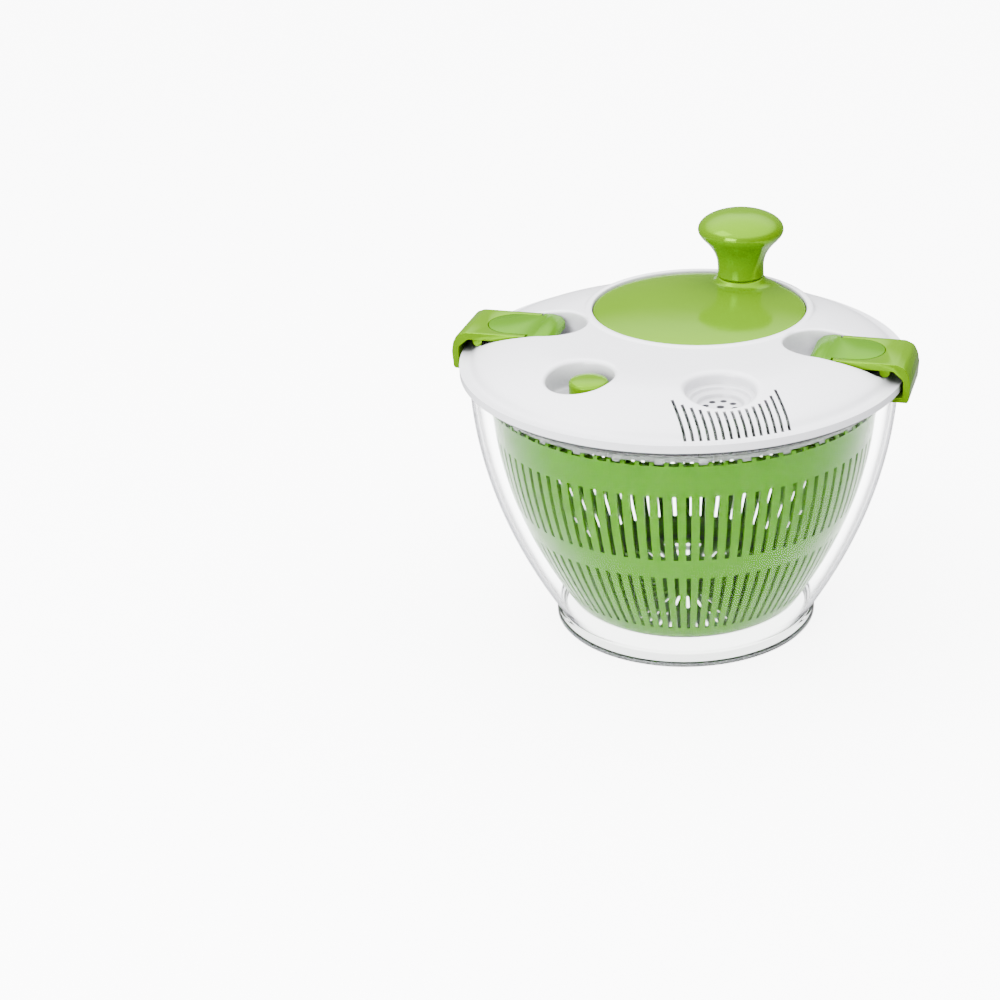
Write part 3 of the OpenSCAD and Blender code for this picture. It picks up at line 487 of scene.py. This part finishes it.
# ------------------------------------------------------------------- basket
def build_basket_wall():
    period = 360.0 / SLOTS
    half_slot, half_notch = SLOT_SHARE * period / 2, 0.7 * period / 2
    offsets = [-half_notch, -half_slot, half_slot, half_notch, period / 2]
    cols = [i * period + o for i in range(SLOTS) for o in offsets]
    open_slot = [o == -half_slot for o in offsets] * SLOTS
    open_notch = [o in (-half_notch, -half_slot, half_slot) for o in offsets] * SLOTS
    low = [((60.0, 13.3), (60.0, 15.3)), ((62.6, 13.35), (61.6, 15.35)),
           ((64.6, 13.8), (63.2, 15.7)), ((66.2, 14.9), (64.6, 16.5))]
    heights = [16.4, 19.0, 21.5, SLOT_LOW]
    heights += list(np.linspace(SLOT_LOW, SLOT_MID, 10)[1:])
    heights += list(np.linspace(SLOT_MID, SLOT_MID2, 5)[1:])
    heights += list(np.linspace(SLOT_MID2, SLOT_HIGH, 9)[1:])
    heights += [124.0, 128.0, 132.0, 135.5, 138.2]
    rows = low + [((basket_at(z), z), (basket_at(z + 1.6) - BASKET_WALL, z + 1.2)
                   if z < 20 else (basket_at(z) - BASKET_WALL, z)) for z in heights]
    rows += [((109.3, 139.0), (106.95, 139.3)), ((111.2, 139.5), (106.97, 139.7)),
             ((111.6, 139.9), (107.0, 139.9)), ((111.6, 141.7), (107.0, 141.7)),
             ((111.3, BASKET_TOP), (107.3, BASKET_TOP))]
    nr, nc = len(rows), len(cols)
    slot_rows = [SLOT_LOW - 0.01 < rows[j][0][1] < SLOT_MID - 0.01
                 or SLOT_MID2 - 0.01 < rows[j][0][1] < SLOT_HIGH - 0.01 for j in range(nr)]
    notch_rows = [rows[j][0][1] > 139.89 for j in range(nr)]
    verts = []
    for side in (0, 1):
        for j in range(nr):
            r, z = rows[j][side]
            for a in cols:
                t = math.radians(a)
                verts.append((r * math.cos(t), r * math.sin(t), z))
    half = nr * nc

    def solid(j, i):
        if j < 0 or j >= nr - 1:
            return False
        i %= nc
        if slot_rows[j] and open_slot[i]:
            return False
        return not (notch_rows[j] and open_notch[i])

    faces = []
    for j in range(nr - 1):
        for i in range(nc):
            if not solid(j, i):
                continue
            k = (i + 1) % nc
            a, b, c, d = j * nc + i, j * nc + k, (j + 1) * nc + k, (j + 1) * nc + i
            faces.append((a, b, c, d))
            faces.append((a + half, d + half, c + half, b + half))
            if not solid(j, i - 1):
                faces.append((a, d, d + half, a + half))
            if not solid(j, i + 1):
                faces.append((b, b + half, c + half, c))
            if not solid(j - 1, i):
                faces.append((a, a + half, b + half, b))
            if not solid(j + 1, i):
                faces.append((d, c, c + half, d + half))
    ob = make("basket_wall", verts, faces, True, None)
    fix_normals(ob)
    ob.data.set_sharp_from_angle(angle=math.radians(38))
    return ob


def build_basket_floor():
    loops, slots = [circle(0, 0, r, 4) for r in (60.0, 61.0)], []
    for count, turn, r0, r1 in ((24, 0.0, 14.0, 32.0), (48, 3.75, 36.0, 56.0)):
        for i in range(count):
            t = math.radians(i * 360 / count + turn)
            c, s = math.cos(t), math.sin(t)
            end = [(1.1 * math.cos(math.radians(q)), 1.1 * math.sin(math.radians(q)))
                   for q in range(-90, 91, 30)]
            shape = [(r1 - 1.1 + x, y) for x, y in end] + [(r0 + 1.1 - x, -y) for x, y in end]
            loops.append([(x * c - y * s, x * s + y * c) for x, y in shape])
            slots.append((c, s, r0, r1))
    loops += [circle(0, 0, r, 1.2) for r in (3.6, 5.0, 7.6, 8.0, 8.4, 9.5)]
    spots = scatter([circle(0, 0, r, 5) for r in (11, 12.5, 34, 58)], loops, 1.0)

    def keep(x, y):
        ok = np.hypot(x, y) < 61
        for c, s, r0, r1 in slots:
            u, v = x * c + y * s, y * c - x * s
            d = np.hypot(np.maximum(0, np.maximum(r0 + 1.1 - u, u - r1 + 1.1)), v)
            ok &= d > 1.08
        return ok

    def top(x, y):
        return pchip([0, 3.6, 5.0, 7.4, 8.0, 8.5, 10, 62],
                     [19.6, 20.6, 21.0, 20.6, 19.8, 16.4, 15.3, 15.3], np.hypot(x, y))

    return plate("basket_floor", loops, [], spots, keep, top,
                 lambda x, y: np.where(np.hypot(x, y) < 3.65, 17.2,
                                       np.where(np.hypot(x, y) < 8.1, 11.4, 13.3)), 40)


basket = join("basket_shell", [build_basket_wall(), build_basket_floor()])
finish_piece(basket, "basket", ["basket"], "basket_green")
# painted shadow: a dark ring on the basket's bottom edge, where it stands over the bowl's floor
paint(basket, "basket_painted_shadow", lambda x, y, z, n: z < 16.0 and math.hypot(x, y) > 58)


# ---------------------------------------------------------------------- lid
DOME_R = [0, 66, 80, 91, 106, 112, 117, 119.6, 121.4, 123.2, 124.8, 125.5, 125.85, 126]
DOME_Z = [172.8, 172.6, 172.0, 170.2, 166.6, 164.4, 161.6, 159.0, 157.7, 157.1, 156.75,
          156.45, 156.0, 155.2]
COLLAR_D = [61.8, 62.0, 62.5, 63.3, 64.4, 65.2, 65.9, 66.7, 67.6, 69.0, 71.0]
COLLAR_Z = [172.5, 172.95, 173.3, 173.4, 173.35, 173.1, 172.5, 171.2, 169.0, 165.0, 158.0]
FUNNEL_R, BRAKE_R = 19.0, 18.6
SLOT_DIR = math.atan2(FUNNEL[1], FUNNEL[0])
SLOT_HALF = 0.85


def crank_dist(x, y):
    return np.hypot(x, y - CRANK_Y)


def smooth_max(a, b, k):
    h = np.clip(0.5 + 0.5 * (a - b) / k, 0, 1)
    return b + (a - b) * h + k * h * (1 - h)


def latch_dist(x, y):
    """Signed distance outside the latch recess, on either side of the lid."""
    ax = np.abs(x)
    return np.where(ax < SCOOP_X, np.hypot(ax - SCOOP_X, y), np.abs(y)) - RECESS_HALF


def lip(s, radius):
    q = 1 - np.clip(s / radius, 0, 1)
    return radius * (1 - np.sqrt(np.maximum(0, 1 - q * q)))


def carve(z, s, radius, steep, floor, deep):
    """Cuts a recess into height z: a rounded lip outside s = 0, a steep wall
    inside it, then the floor.  The lip fades where z comes down to `deep`."""
    r = np.maximum(1e-6, radius * np.clip((z - deep) / (2 * radius), 0, 1))
    wall = z - r - steep * np.maximum(0, -s)
    return np.where(s < 0, np.maximum(wall, np.minimum(floor, z)), z - lip(s, r))


def lid_top(x, y):
    dome = pchip(DOME_R, DOME_Z, np.hypot(x, y))
    z = smooth_max(dome, pchip(COLLAR_D, COLLAR_Z, crank_dist(x, y)), 1.0)
    d = np.hypot(x - FUNNEL[0], y - FUNNEL[1])
    floor = pchip([0, 11.8, 12.2, 12.6, 12.9, 15.2, 15.7, 16.2, 16.5, 17.6, 19],
                  [160, 160, 160.6, 162.4, 162.7, 162.8, 163.2, 164.9, 165.2, 165.4, 166], d)
    z = carve(z, d - FUNNEL_R, 3.0, 9.0, floor, 160.0)
    d = np.hypot(x - BRAKE[0], y - BRAKE[1])
    floor = pchip([0, 14.8, 16.4, 17.3, 17.9, 18.3], [157, 157, 157.6, 159, 161.5, 165], d)
    z = carve(z, d - BRAKE_R, 2.6, 10.0, floor, 157.0)
    ax, s = np.abs(x), latch_dist(x, y)
    scoop = pchip([-30, -7.2, -5, -3.4, -2, -1, -0.4, 0],
                  [155.3, 155.3, 155.9, 156.9, 158.8, 161.6, 165.0, 169.0], s)
    well = pchip([-30, -2.2, -1.3, -0.7, -0.3, 0], [155.3, 155.3, 155.6, 156.3, 157.5, 160], s)
    channel = pchip([-30, -1.2, -0.6, -0.3, 0], [160.8, 160.8, 161.1, 161.7, 163], s)
    mix, step = np.clip((ax - 70) / 4, 0, 1), np.clip((ax - 92) / 1.4, 0, 1)
    floor = (scoop * (1 - mix) + well * mix) * (1 - step) + channel * step
    return carve(z, s, 1.5, 40.0, floor, np.where(ax < 92, 155.3, 160.8))


def lid_under(x, y):
    r, d = np.hypot(x, y), crank_dist(x, y)
    dome = pchip(DOME_R, DOME_Z, r)
    z = dome - 2.5
    ax, s = np.abs(x), latch_dist(x, y)
    z = np.where(s < 2.2, np.minimum(z, np.where(ax < 95.2, 153.1, 158.6)), z)
    f = np.hypot(x - FUNNEL[0], y - FUNNEL[1])
    z = np.where(f < 22.2, np.minimum(z, 167.0), z)
    z = np.where(f < 20.4, np.minimum(z, 163.0), z)
    z = np.where(f < 17.6, np.minimum(z, 160.6), z)
    z = np.where(f < 14.2, np.minimum(z, 157.8), z)
    b = np.hypot(x - BRAKE[0], y - BRAKE[1])
    z = np.where(b < 20.6, np.minimum(z, 154.8), z)
    z = np.where(d < 64.2, 154.5, z)
    for a in (90, 20, 160, -50, -130):
        t = math.radians(a)
        near = np.hypot(x - 69.3 * math.cos(t), y - CRANK_Y - 69.3 * math.sin(t)) < 4
        z = np.where(near, np.minimum(z, 154.5), z)
    z = np.where(r > 115.6, 148.5, z)
    z = np.where(r > 117.8, 154.5, z)
    return np.where(r > 123.8, 153.7, z)


def slot_ends():
    out = []
    for i in range(-7, 8):
        v = i * 4.0
        start = math.hypot(*FUNNEL) - 9.8 + math.sqrt(32.6 ** 2 - v * v)
        out.append((v, start, math.sqrt(120.8 ** 2 - v * v)))
    return out


def build_lid():
    c, s = math.cos(SLOT_DIR), math.sin(SLOT_DIR)
    well = circle(0, CRANK_Y, WELL_R, 1.6)
    loops = [well] + [circle(0, CRANK_Y, r, 1.8) for r in
                      (62.0, 62.3, 62.8, 63.4, 64.2, 64.9, 65.5, 66.0, 66.5, 67.0, 67.6,
                       68.3, 69.2)]
    rims = (126.0, 125.93, 125.82, 125.65, 125.4, 125.0, 124.4, 123.82, 123.78, 123.0, 122.2,
            121.4, 120.6, 119.8, 119.0, 118.2, 117.82, 117.78, 116.8, 115.62, 115.58, 114.4)
    loops += [circle(0, 0, r, 1.9) for r in rims]
    for (fx, fy), base, offsets in (
            (FUNNEL, FUNNEL_R, (3.0, 2.4, 1.8, 1.2, 0.75, 0.35, 0.1, 0, -0.15, -0.35, -0.6,
                                -0.9, -1.3, -2.0, -2.6, -2.85, -3.1, -3.4, -3.9, -6.1, -6.4,
                                -6.7, -7.0, -7.3)),
            (BRAKE, BRAKE_R, (2.6, 2.1, 1.6, 1.1, 0.65, 0.3, 0.1, 0, -0.12, -0.3, -0.5, -0.8,
                              -1.2, -1.7, -2.3, -3.0, -3.8, -5))):
        loops += [circle(fx, fy, base + o, 1.3) for o in offsets]
    fx, fy = FUNNEL
    for i in range(8):
        a = math.radians(i * 45)
        loops.append(circle(fx + 8 * math.cos(a), fy + 8 * math.sin(a), 1.9, 0.8))
    loops.append(circle(fx, fy, 2.2, 0.8))
    loops.append(circle(BUTTON[0], BUTTON[1], 3.05, 1.0))
    slots = slot_ends()
    lines = []
    for v, r0, r1 in slots:
        shape = []
        n = max(4, int((r1 - r0) / 1.6))
        for k in range(n + 1):
            shape.append((r0 + (r1 - r0) * k / n, v - SLOT_HALF))
        for k in range(n, -1, -1):
            shape.append((r0 + (r1 - r0) * k / n, v + SLOT_HALF))
        loops.append([(x * c - y * s, x * s + y * c) for x, y in shape])
    for side in (-1, 1):
        for o in (1.5, 1.15, 0.8, 0.5, 0.25, 0.08, 0.0, -0.06, -0.12, -0.2, -0.3, -0.45,
                  -0.65, -0.9, -1.2, -1.6, -2.1, -2.8, -3.6, -4.6, -6.0, -7.4):
            h = RECESS_HALF + o
            n = 34
            line = [(x, h) for x in np.arange(129.0, SCOOP_X + 0.9, -1.8)]
            line += [(SCOOP_X + h * math.cos(math.radians(90 + 180 * k / n)),
                      h * math.sin(math.radians(90 + 180 * k / n))) for k in range(n + 1)]
            line += [(x, -h) for x in np.arange(SCOOP_X + 1.8, 129.1, 1.8)]
            lines.append([(side * x, y) for x, y in line])
        for x in (92.0, 92.3, 92.7, 93.1, 93.4, 95.18, 95.22):
            lines.append([(side * x, y) for y in np.linspace(-19.8, 19.8, 24)])
    rings = [circle(0, 0, r, 2.6, r) for r in np.arange(4, 114, 2.6)]
    guides = loops + lines
    spots = scatter(rings, guides, 1.25)

    def keep(x, y):
        ok = (np.hypot(x, y) < 126.0) & (crank_dist(x, y) > WELL_R - 0.05)
        u, v = x * c + y * s, y * c - x * s
        for v0, r0, r1 in slots:
            ok &= ~((np.abs(v - v0) < SLOT_HALF) & (u > r0) & (u < r1))
        for i in range(8):
            a = math.radians(i * 45)
            ok &= np.hypot(x - fx - 8 * math.cos(a), y - fy - 8 * math.sin(a)) > 1.85
        ok &= np.hypot(x - fx, y - fy) > 2.15
        return ok & (np.hypot(x - BUTTON[0], y - BUTTON[1]) > 3.0)

    return plate("lid_plate", loops, lines, spots, keep, lid_top, lid_under, 42)


def lug(side, y):
    outline = [(113.5, 160.4), (118.1, 160.4), (118.4, 163.9)]
    outline += [(116 + 2.5 * math.cos(math.radians(q)), 163.9 + 2.5 * math.sin(math.radians(q)))
                for q in range(10, 171, 16)]
    outline += [(113.5, 163.9)]
    outer = [(side * x, z) for x, z in outline]
    return extrude("lug", outer, y - 2, y + 2)


lugs = [lug(side, y) for side in (-1, 1) for y in (-10, 10)]
for part in lugs:
    bevel(part, 0.3, 2, 40)
lid = join("lid_shell", [build_lid()] + lugs)
finish_piece(lid, "lid", ["lid_cover"], "white_gloss")


def slot_or_hole_wall(x, y, z, normal):
    """Upright faces of the drain slots and of the holes in the inlet's cup, which get a dark grey
    as painted shade.
    """
    ahead = (x * FUNNEL[0] + y * FUNNEL[1]) / math.hypot(*FUNNEL)
    aside_squared = math.hypot(x, y) ** 2 - ahead ** 2
    cup = math.hypot(x - FUNNEL[0], y - FUNNEL[1])
    in_slots = (ahead > 85 and cup > 24 and aside_squared < 29 ** 2
                and math.hypot(x, y) < 121.3)
    return abs(normal.z) < 0.25 and (in_slots or cup < 10.5)


# painted shade: the slot and hole walls made dark grey as if in shadow
paint(lid, "slot_wall_painted_shade", slot_or_hole_wall)


# -------------------------------------------------------------------- crank
def disc_top(x, y):
    d = crank_dist(x, y)
    dome = pchip([0, 15, 30, 45, 54, 58, 60, 60.7, 61.0, 61.1],
                 [176.4, 176.2, 175.6, 174.4, 173.3, 172.7, 172.3, 171.9, 171.3, 170.8], d)
    k = np.hypot(x - KNOB[0], y - KNOB[1])
    boss = pchip([0, 12.6, 13.5, 14.0, 14.4, 15.2, 16.6, 18.6, 21.5, 25.0],
                 [178.4, 178.4, 178.2, 177.8, 177.1, 175.9, 174.7, 173.6, 172.6, 171.8], k)
    return smooth_max(dome, boss, 0.5)


def build_disc():
    loops = [circle(0, CRANK_Y, r, 1.6) for r in (61.1, 61.05, 60.95, 60.75, 60.4, 59.9, 59.2,
                                                  58.2, 57.0)]
    knob_rings = [circle(KNOB[0], KNOB[1], r, 1.4) for r in
                  (9.0, 11.0, 12.2, 12.9, 13.4, 13.8, 14.2)]
    outer = [[p for p in circle(KNOB[0], KNOB[1], r, 1.5)
              if math.hypot(p[0], p[1] - CRANK_Y) < 56.6] for r in
             (14.6, 15.1, 15.8, 16.6, 17.5, 18.6, 20.0, 21.6, 23.4)]
    loops += knob_rings
    spots = scatter([circle(0, CRANK_Y, r, 2.4, r) for r in np.arange(2.4, 56, 2.4)],
                    loops + outer, 1.1)
    spots += [p for ring in outer for p in ring]
    spots += circle(KNOB[0], KNOB[1], 3, 3) + circle(KNOB[0], KNOB[1], 6, 3)
    return plate("crank_cap", loops, [], spots,
                 lambda x, y: crank_dist(x, y) < 61.11, disc_top,
                 lambda x, y: np.where(crank_dist(x, y) > 59.0, 169.6, 169.3), 40)


finish_piece(build_disc(), "crank", ["crank_disc"], "green_gloss")


def build_knob():
    z0 = 178.8
    side = spline([(13.7, 0.7), (13.55, 3.5), (13.6, 7.0), (14.1, 10.5), (15.3, 14.0),
                   (17.3, 17.5), (19.9, 20.8), (22.4, 23.4), (24.3, 25.8), (25.1, 27.9),
                   (24.95, 29.8), (23.9, 31.9), (21.6, 34.1), (18.0, 36.1), (13.0, 37.9),
                   (7.0, 39.1), (0.0, 39.5)], 6)
    side = [(max(0.0, r), z0 + z) for r, z in side]
    hole = [(0.0, z0 + 23.8), (5.05, z0 + 23.8), (5.05, z0)]
    return lathe("knob_shell", side + hole + [(12.9, z0), (13.4, z0 + 0.2)], 144, KNOB, True, 50)


finish_piece(build_knob(), "knob", ["knob"], "green_gloss")


# -------------------------------------------------------------------- brake
def build_button():
    r = 10.8
    outline = [(0, 169.5), (5.0, 169.35), (7.6, 169.0), (r - 0.9, 168.3, 1.0), (r, 166.9, 0.8),
               (r, 160.7, 0.3), (9.2, 160.7, 0.3), (9.2, 166.0, 0.6), (0, 166.8)]
    return lathe("brake_cap", fillet(outline, 5), 96, BUTTON, True, 45)


finish_piece(build_button(), "brake", ["brake_button"], "green_gloss")


def build_brake_spring():
    """Wound wire with a flat turn at each end, standing on the recess floor."""
    wire, coil, turns = 0.4, 5.0, 6
    steps, around = 32, 10
    verts, faces = [], []
    n = turns * steps + 1
    for k in range(n):
        a = 2 * math.pi * k / steps
        rise = min(1.0, max(0.0, (k / steps - 0.8) / (turns - 1.6)))
        z = SPRING_LOW + wire + (SPRING_HIGH - SPRING_LOW - 2 * wire) * rise
        for i in range(around):
            q = 2 * math.pi * i / around
            r = coil + wire * math.cos(q)
            verts.append((BUTTON[0] + r * math.cos(a), BUTTON[1] + r * math.sin(a),
                          z + wire * math.sin(q)))
    for k in range(n - 1):
        for i in range(around):
            j = (i + 1) % around
            faces.append((k * around + i, k * around + j, (k + 1) * around + j,
                          (k + 1) * around + i))
    faces += [tuple(range(around)), tuple(range(n * around - 1, (n - 1) * around - 1, -1))]
    ob = make("brake_coil", verts, faces, True, None)
    fix_normals(ob)
    return ob


spring = finish_piece(build_brake_spring(), "lid", ["brake_spring"], "steel")
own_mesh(spring)


# ------------------------------------------------------------------ latches
def tongue(grow, n=20):
    half, end = 15.5, 98.0
    pts = [(82.4, -half - grow), (end, -half - grow)]
    pts += [(end + (half + grow) * math.cos(math.radians(-90 + 180 * k / n)),
             (half + grow) * math.sin(math.radians(-90 + 180 * k / n))) for k in range(1, n)]
    return pts + [(end, half + grow), (82.4, half + grow)]


def build_latch(side):
    top, low = LATCH_TOP, LATCH_TOP - LATCH_T
    hook = extrude("latch_hook", fillet([
        (LATCH_SPLIT + 1.0, top), (122.6, top, 6.0), (127.4, top - 2.0, 4.0),
        (129.6, top - 6.4, 5.0), (130.6, top - 12.0, 8.0), (129.9, 149.0, 3.0),
        (128.9, 147.9, 0.8), (118.6, 147.9, 0.5), (118.6, 149.4, 0.4),
        (121.5, 150.2, 0.3), (126.6, 150.9, 1.2), (126.6, low - 5.0, 3.0),
        (121.0, low, 3.0), (LATCH_SPLIT + 2.8, low), (LATCH_SPLIT + 2.2, low + 1.0)], 6),
        -LATCH_HALF, LATCH_HALF, 32)
    bevel(hook, 1.1, 4, 50)
    cut(hook, prism("tool", tongue(0.5), top - 3.4, top + 4))
    pad = extrude("latch_pad", fillet([
        (LATCH_IN, top - 5.4, 0.6), (LATCH_IN + 0.6, top - 3.2, 1.6),
        (LATCH_IN + 3.4, top - 1.1, 4.0), (LATCH_IN + 9.5, top, 6.0), (LATCH_SPLIT, top),
        (LATCH_SPLIT - 1.3, low + 0.6, 0.3),
        (LATCH_IN + 6, low - 0.6), (LATCH_IN + 0.6, low - 1.6, 0.4)], 6),
        -LATCH_HALF, LATCH_HALF, 32)
    bevel(pad, 0.9, 4, 50)
    nose = fillet([(LATCH_IN, -19.6, 7.5), (LATCH_IN, 19.6, 7.5), (LATCH_SPLIT + 4, 19.6),
                   (LATCH_SPLIT + 4, -19.6)], 10)
    cut(pad, prism("tool", nose, low - 8, top + 4), "INTERSECT")
    cut(pad, prism("tool", tongue(0.0), top - 2.2, top), "UNION")
    parts = []
    for ob in (hook, pad):
        bevel(ob, 0.28, 2, 48)
        ob.data.transform(Matrix.Diagonal((side, 1, 1, 1)))
        if side < 0:
            ob.data.flip_normals()
        parts.append(ob)
    knuckles = []
    for y in (-14.6, 14.6):
        shape = [(113.3, low + 0.4), (113.3, 163.9)]
        shape += [(116 + 2.7 * math.cos(math.radians(q)), 163.9 + 2.7 * math.sin(math.radians(q)))
                  for q in range(180, 361, 20)]
        shape += [(118.7, low + 0.4)]
        knuckles.append(extrude("knuckle", [(side * x, z) for x, z in shape], y - 2.3, y + 2.3))
    return join("latch_arm_" + ("right" if side > 0 else "left"), [parts[0]] + knuckles), parts[1]


for side, word in ((1, "right"), (-1, "left")):
    arm, pad = build_latch(side)
    pad.name = "latch_tongue_" + word
    finish_piece(arm, "latch_" + word, ["latch_hook_" + word], "green_gloss")
    finish_piece(pad, "latch_" + word, ["latch_pad_" + word], "pad_green")


# ------------------------------------------- CAD nodes that keep their mesh
KEPT = {
    "base_grip_ring": "grip", "gear_housing": "acetal", "housing_screws": "steel",
    "crank_bush": "acetal", "drive_bush": "acetal", "ring_gear": "acetal",
    "disc_screws": "steel", "crank_axle": "steel", "crank_washer": "steel",
    "crank_screw": "steel", "knob_spindle": "acetal", "knob_screw": "steel",
    "drive_pinion": "acetal", "drive_plate": "clear_plate", "drive_screw": "steel",
    "brake_stem": "acetal", "brake_pad": "rubber", "brake_clip": "steel",
    "latch_pin_right": "steel", "latch_spring_right": "steel",
    "latch_pin_left": "steel", "latch_spring_left": "steel"}
for node, mat in KEPT.items():
    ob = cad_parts[node]
    ob.data.materials.clear()
    ob.data.materials.append(MATS[mat])


# ------------------------------------------------ floor, light and the view
def area(name, at, aim, size, power, size_y=None):
    data = bpy.data.lights.new(name, "AREA")
    data.energy, data.size = power, size
    if size_y:
        data.shape, data.size_y = "RECTANGLE", size_y
    ob = bpy.data.objects.new(name, data)
    ob.location = at
    ob.rotation_euler = (Vector(aim) - Vector(at)).to_track_quat("-Z", "Y").to_euler()
    bpy.context.scene.collection.objects.link(ob)
    return ob


FLOOR_HALF = 12000.0
floor = make("floor", [(x * FLOOR_HALF, y * FLOOR_HALF, 0)
                       for x, y in ((-1, -1), (1, -1), (1, 1), (-1, 1))], [(0, 1, 2, 3)], False)
floor_mat = material("floor_white", (0.94, 0.94, 0.945), 0.5, 0.02, 0.004, 4, 0,
                     Emission_Color=(1, 1, 1, 1), Emission_Strength=5.8)
floor.data.materials.append(floor_mat)
floor.visible_diffuse = False
floor.visible_glossy = False


def studio_world():
    """White dome: bright overhead, dim near the horizon, a little light from below."""
    world = bpy.data.worlds.new("studio")
    bpy.context.scene.world = world
    world.use_nodes = True
    nt = world.node_tree
    coord = nt.nodes.new("ShaderNodeTexCoord")
    split = nt.nodes.new("ShaderNodeSeparateXYZ")
    nt.links.new(coord.outputs["Generated"], split.inputs[0])
    ramp = nt.nodes.new("ShaderNodeValToRGB")
    lift = nt.nodes.new("ShaderNodeMapRange")
    lift.inputs["From Min"].default_value = -1.0
    nt.links.new(split.outputs["Z"], lift.inputs["Value"])
    nt.links.new(lift.outputs["Result"], ramp.inputs["Fac"])
    # place from straight down (0) to straight up (1), and brightness there
    stops = ((0.20, 0.3), (0.34, 0.06), (0.69, 0.07), (0.75, 0.55), (0.84, 1.0))
    ramp.color_ramp.elements[0].position = stops[0][0]
    ramp.color_ramp.elements[1].position = stops[-1][0]
    for place, level in stops[1:-1]:
        ramp.color_ramp.elements.new(place)
    for element, (place, level) in zip(ramp.color_ramp.elements, stops):
        element.color = (level, level, level * 1.02, 1)
    nt.links.new(ramp.outputs["Color"], nt.nodes["Background"].inputs["Color"])
    nt.nodes["Background"].inputs["Strength"].default_value = 6.0


studio_world()
area("key", (-0.9, -0.5, 1.5), (0, 0, 0.1), 0.9, 18)
area("fill", (-0.5, -1.7, 0.5), (0, 0, 0.12), 0.9, 60)


def photo_camera(at, aim, roll, lens, shift):
    """Camera at `at` that looks at `aim`, both in mm."""
    at = Vector(at) * MM
    forward = (Vector(aim) * MM - at).normalized()
    level = forward.cross(Vector((0, 0, 1))).normalized()
    upright = level.cross(forward)
    right = level * math.cos(roll) + upright * math.sin(roll)
    up = -level * math.sin(roll) + upright * math.cos(roll)
    data = bpy.data.cameras.new("camera")
    data.lens, data.sensor_width = lens, 36.0
    data.shift_x, data.shift_y = shift
    data.clip_start, data.clip_end = 0.01, 50
    ob = bpy.data.objects.new("camera", data)
    ob.matrix_world = Matrix((
        (right.x, up.x, -forward.x, at.x),
        (right.y, up.y, -forward.y, at.y),
        (right.z, up.z, -forward.z, at.z),
        (0, 0, 0, 1)))
    bpy.context.scene.collection.objects.link(ob)
    bpy.context.scene.camera = ob


photo_camera(at=(269.9, -1169.2, 631.0), aim=(0, 0, 100), roll=-0.0083, lens=82.45,
             shift=(-0.1847, -0.0498))
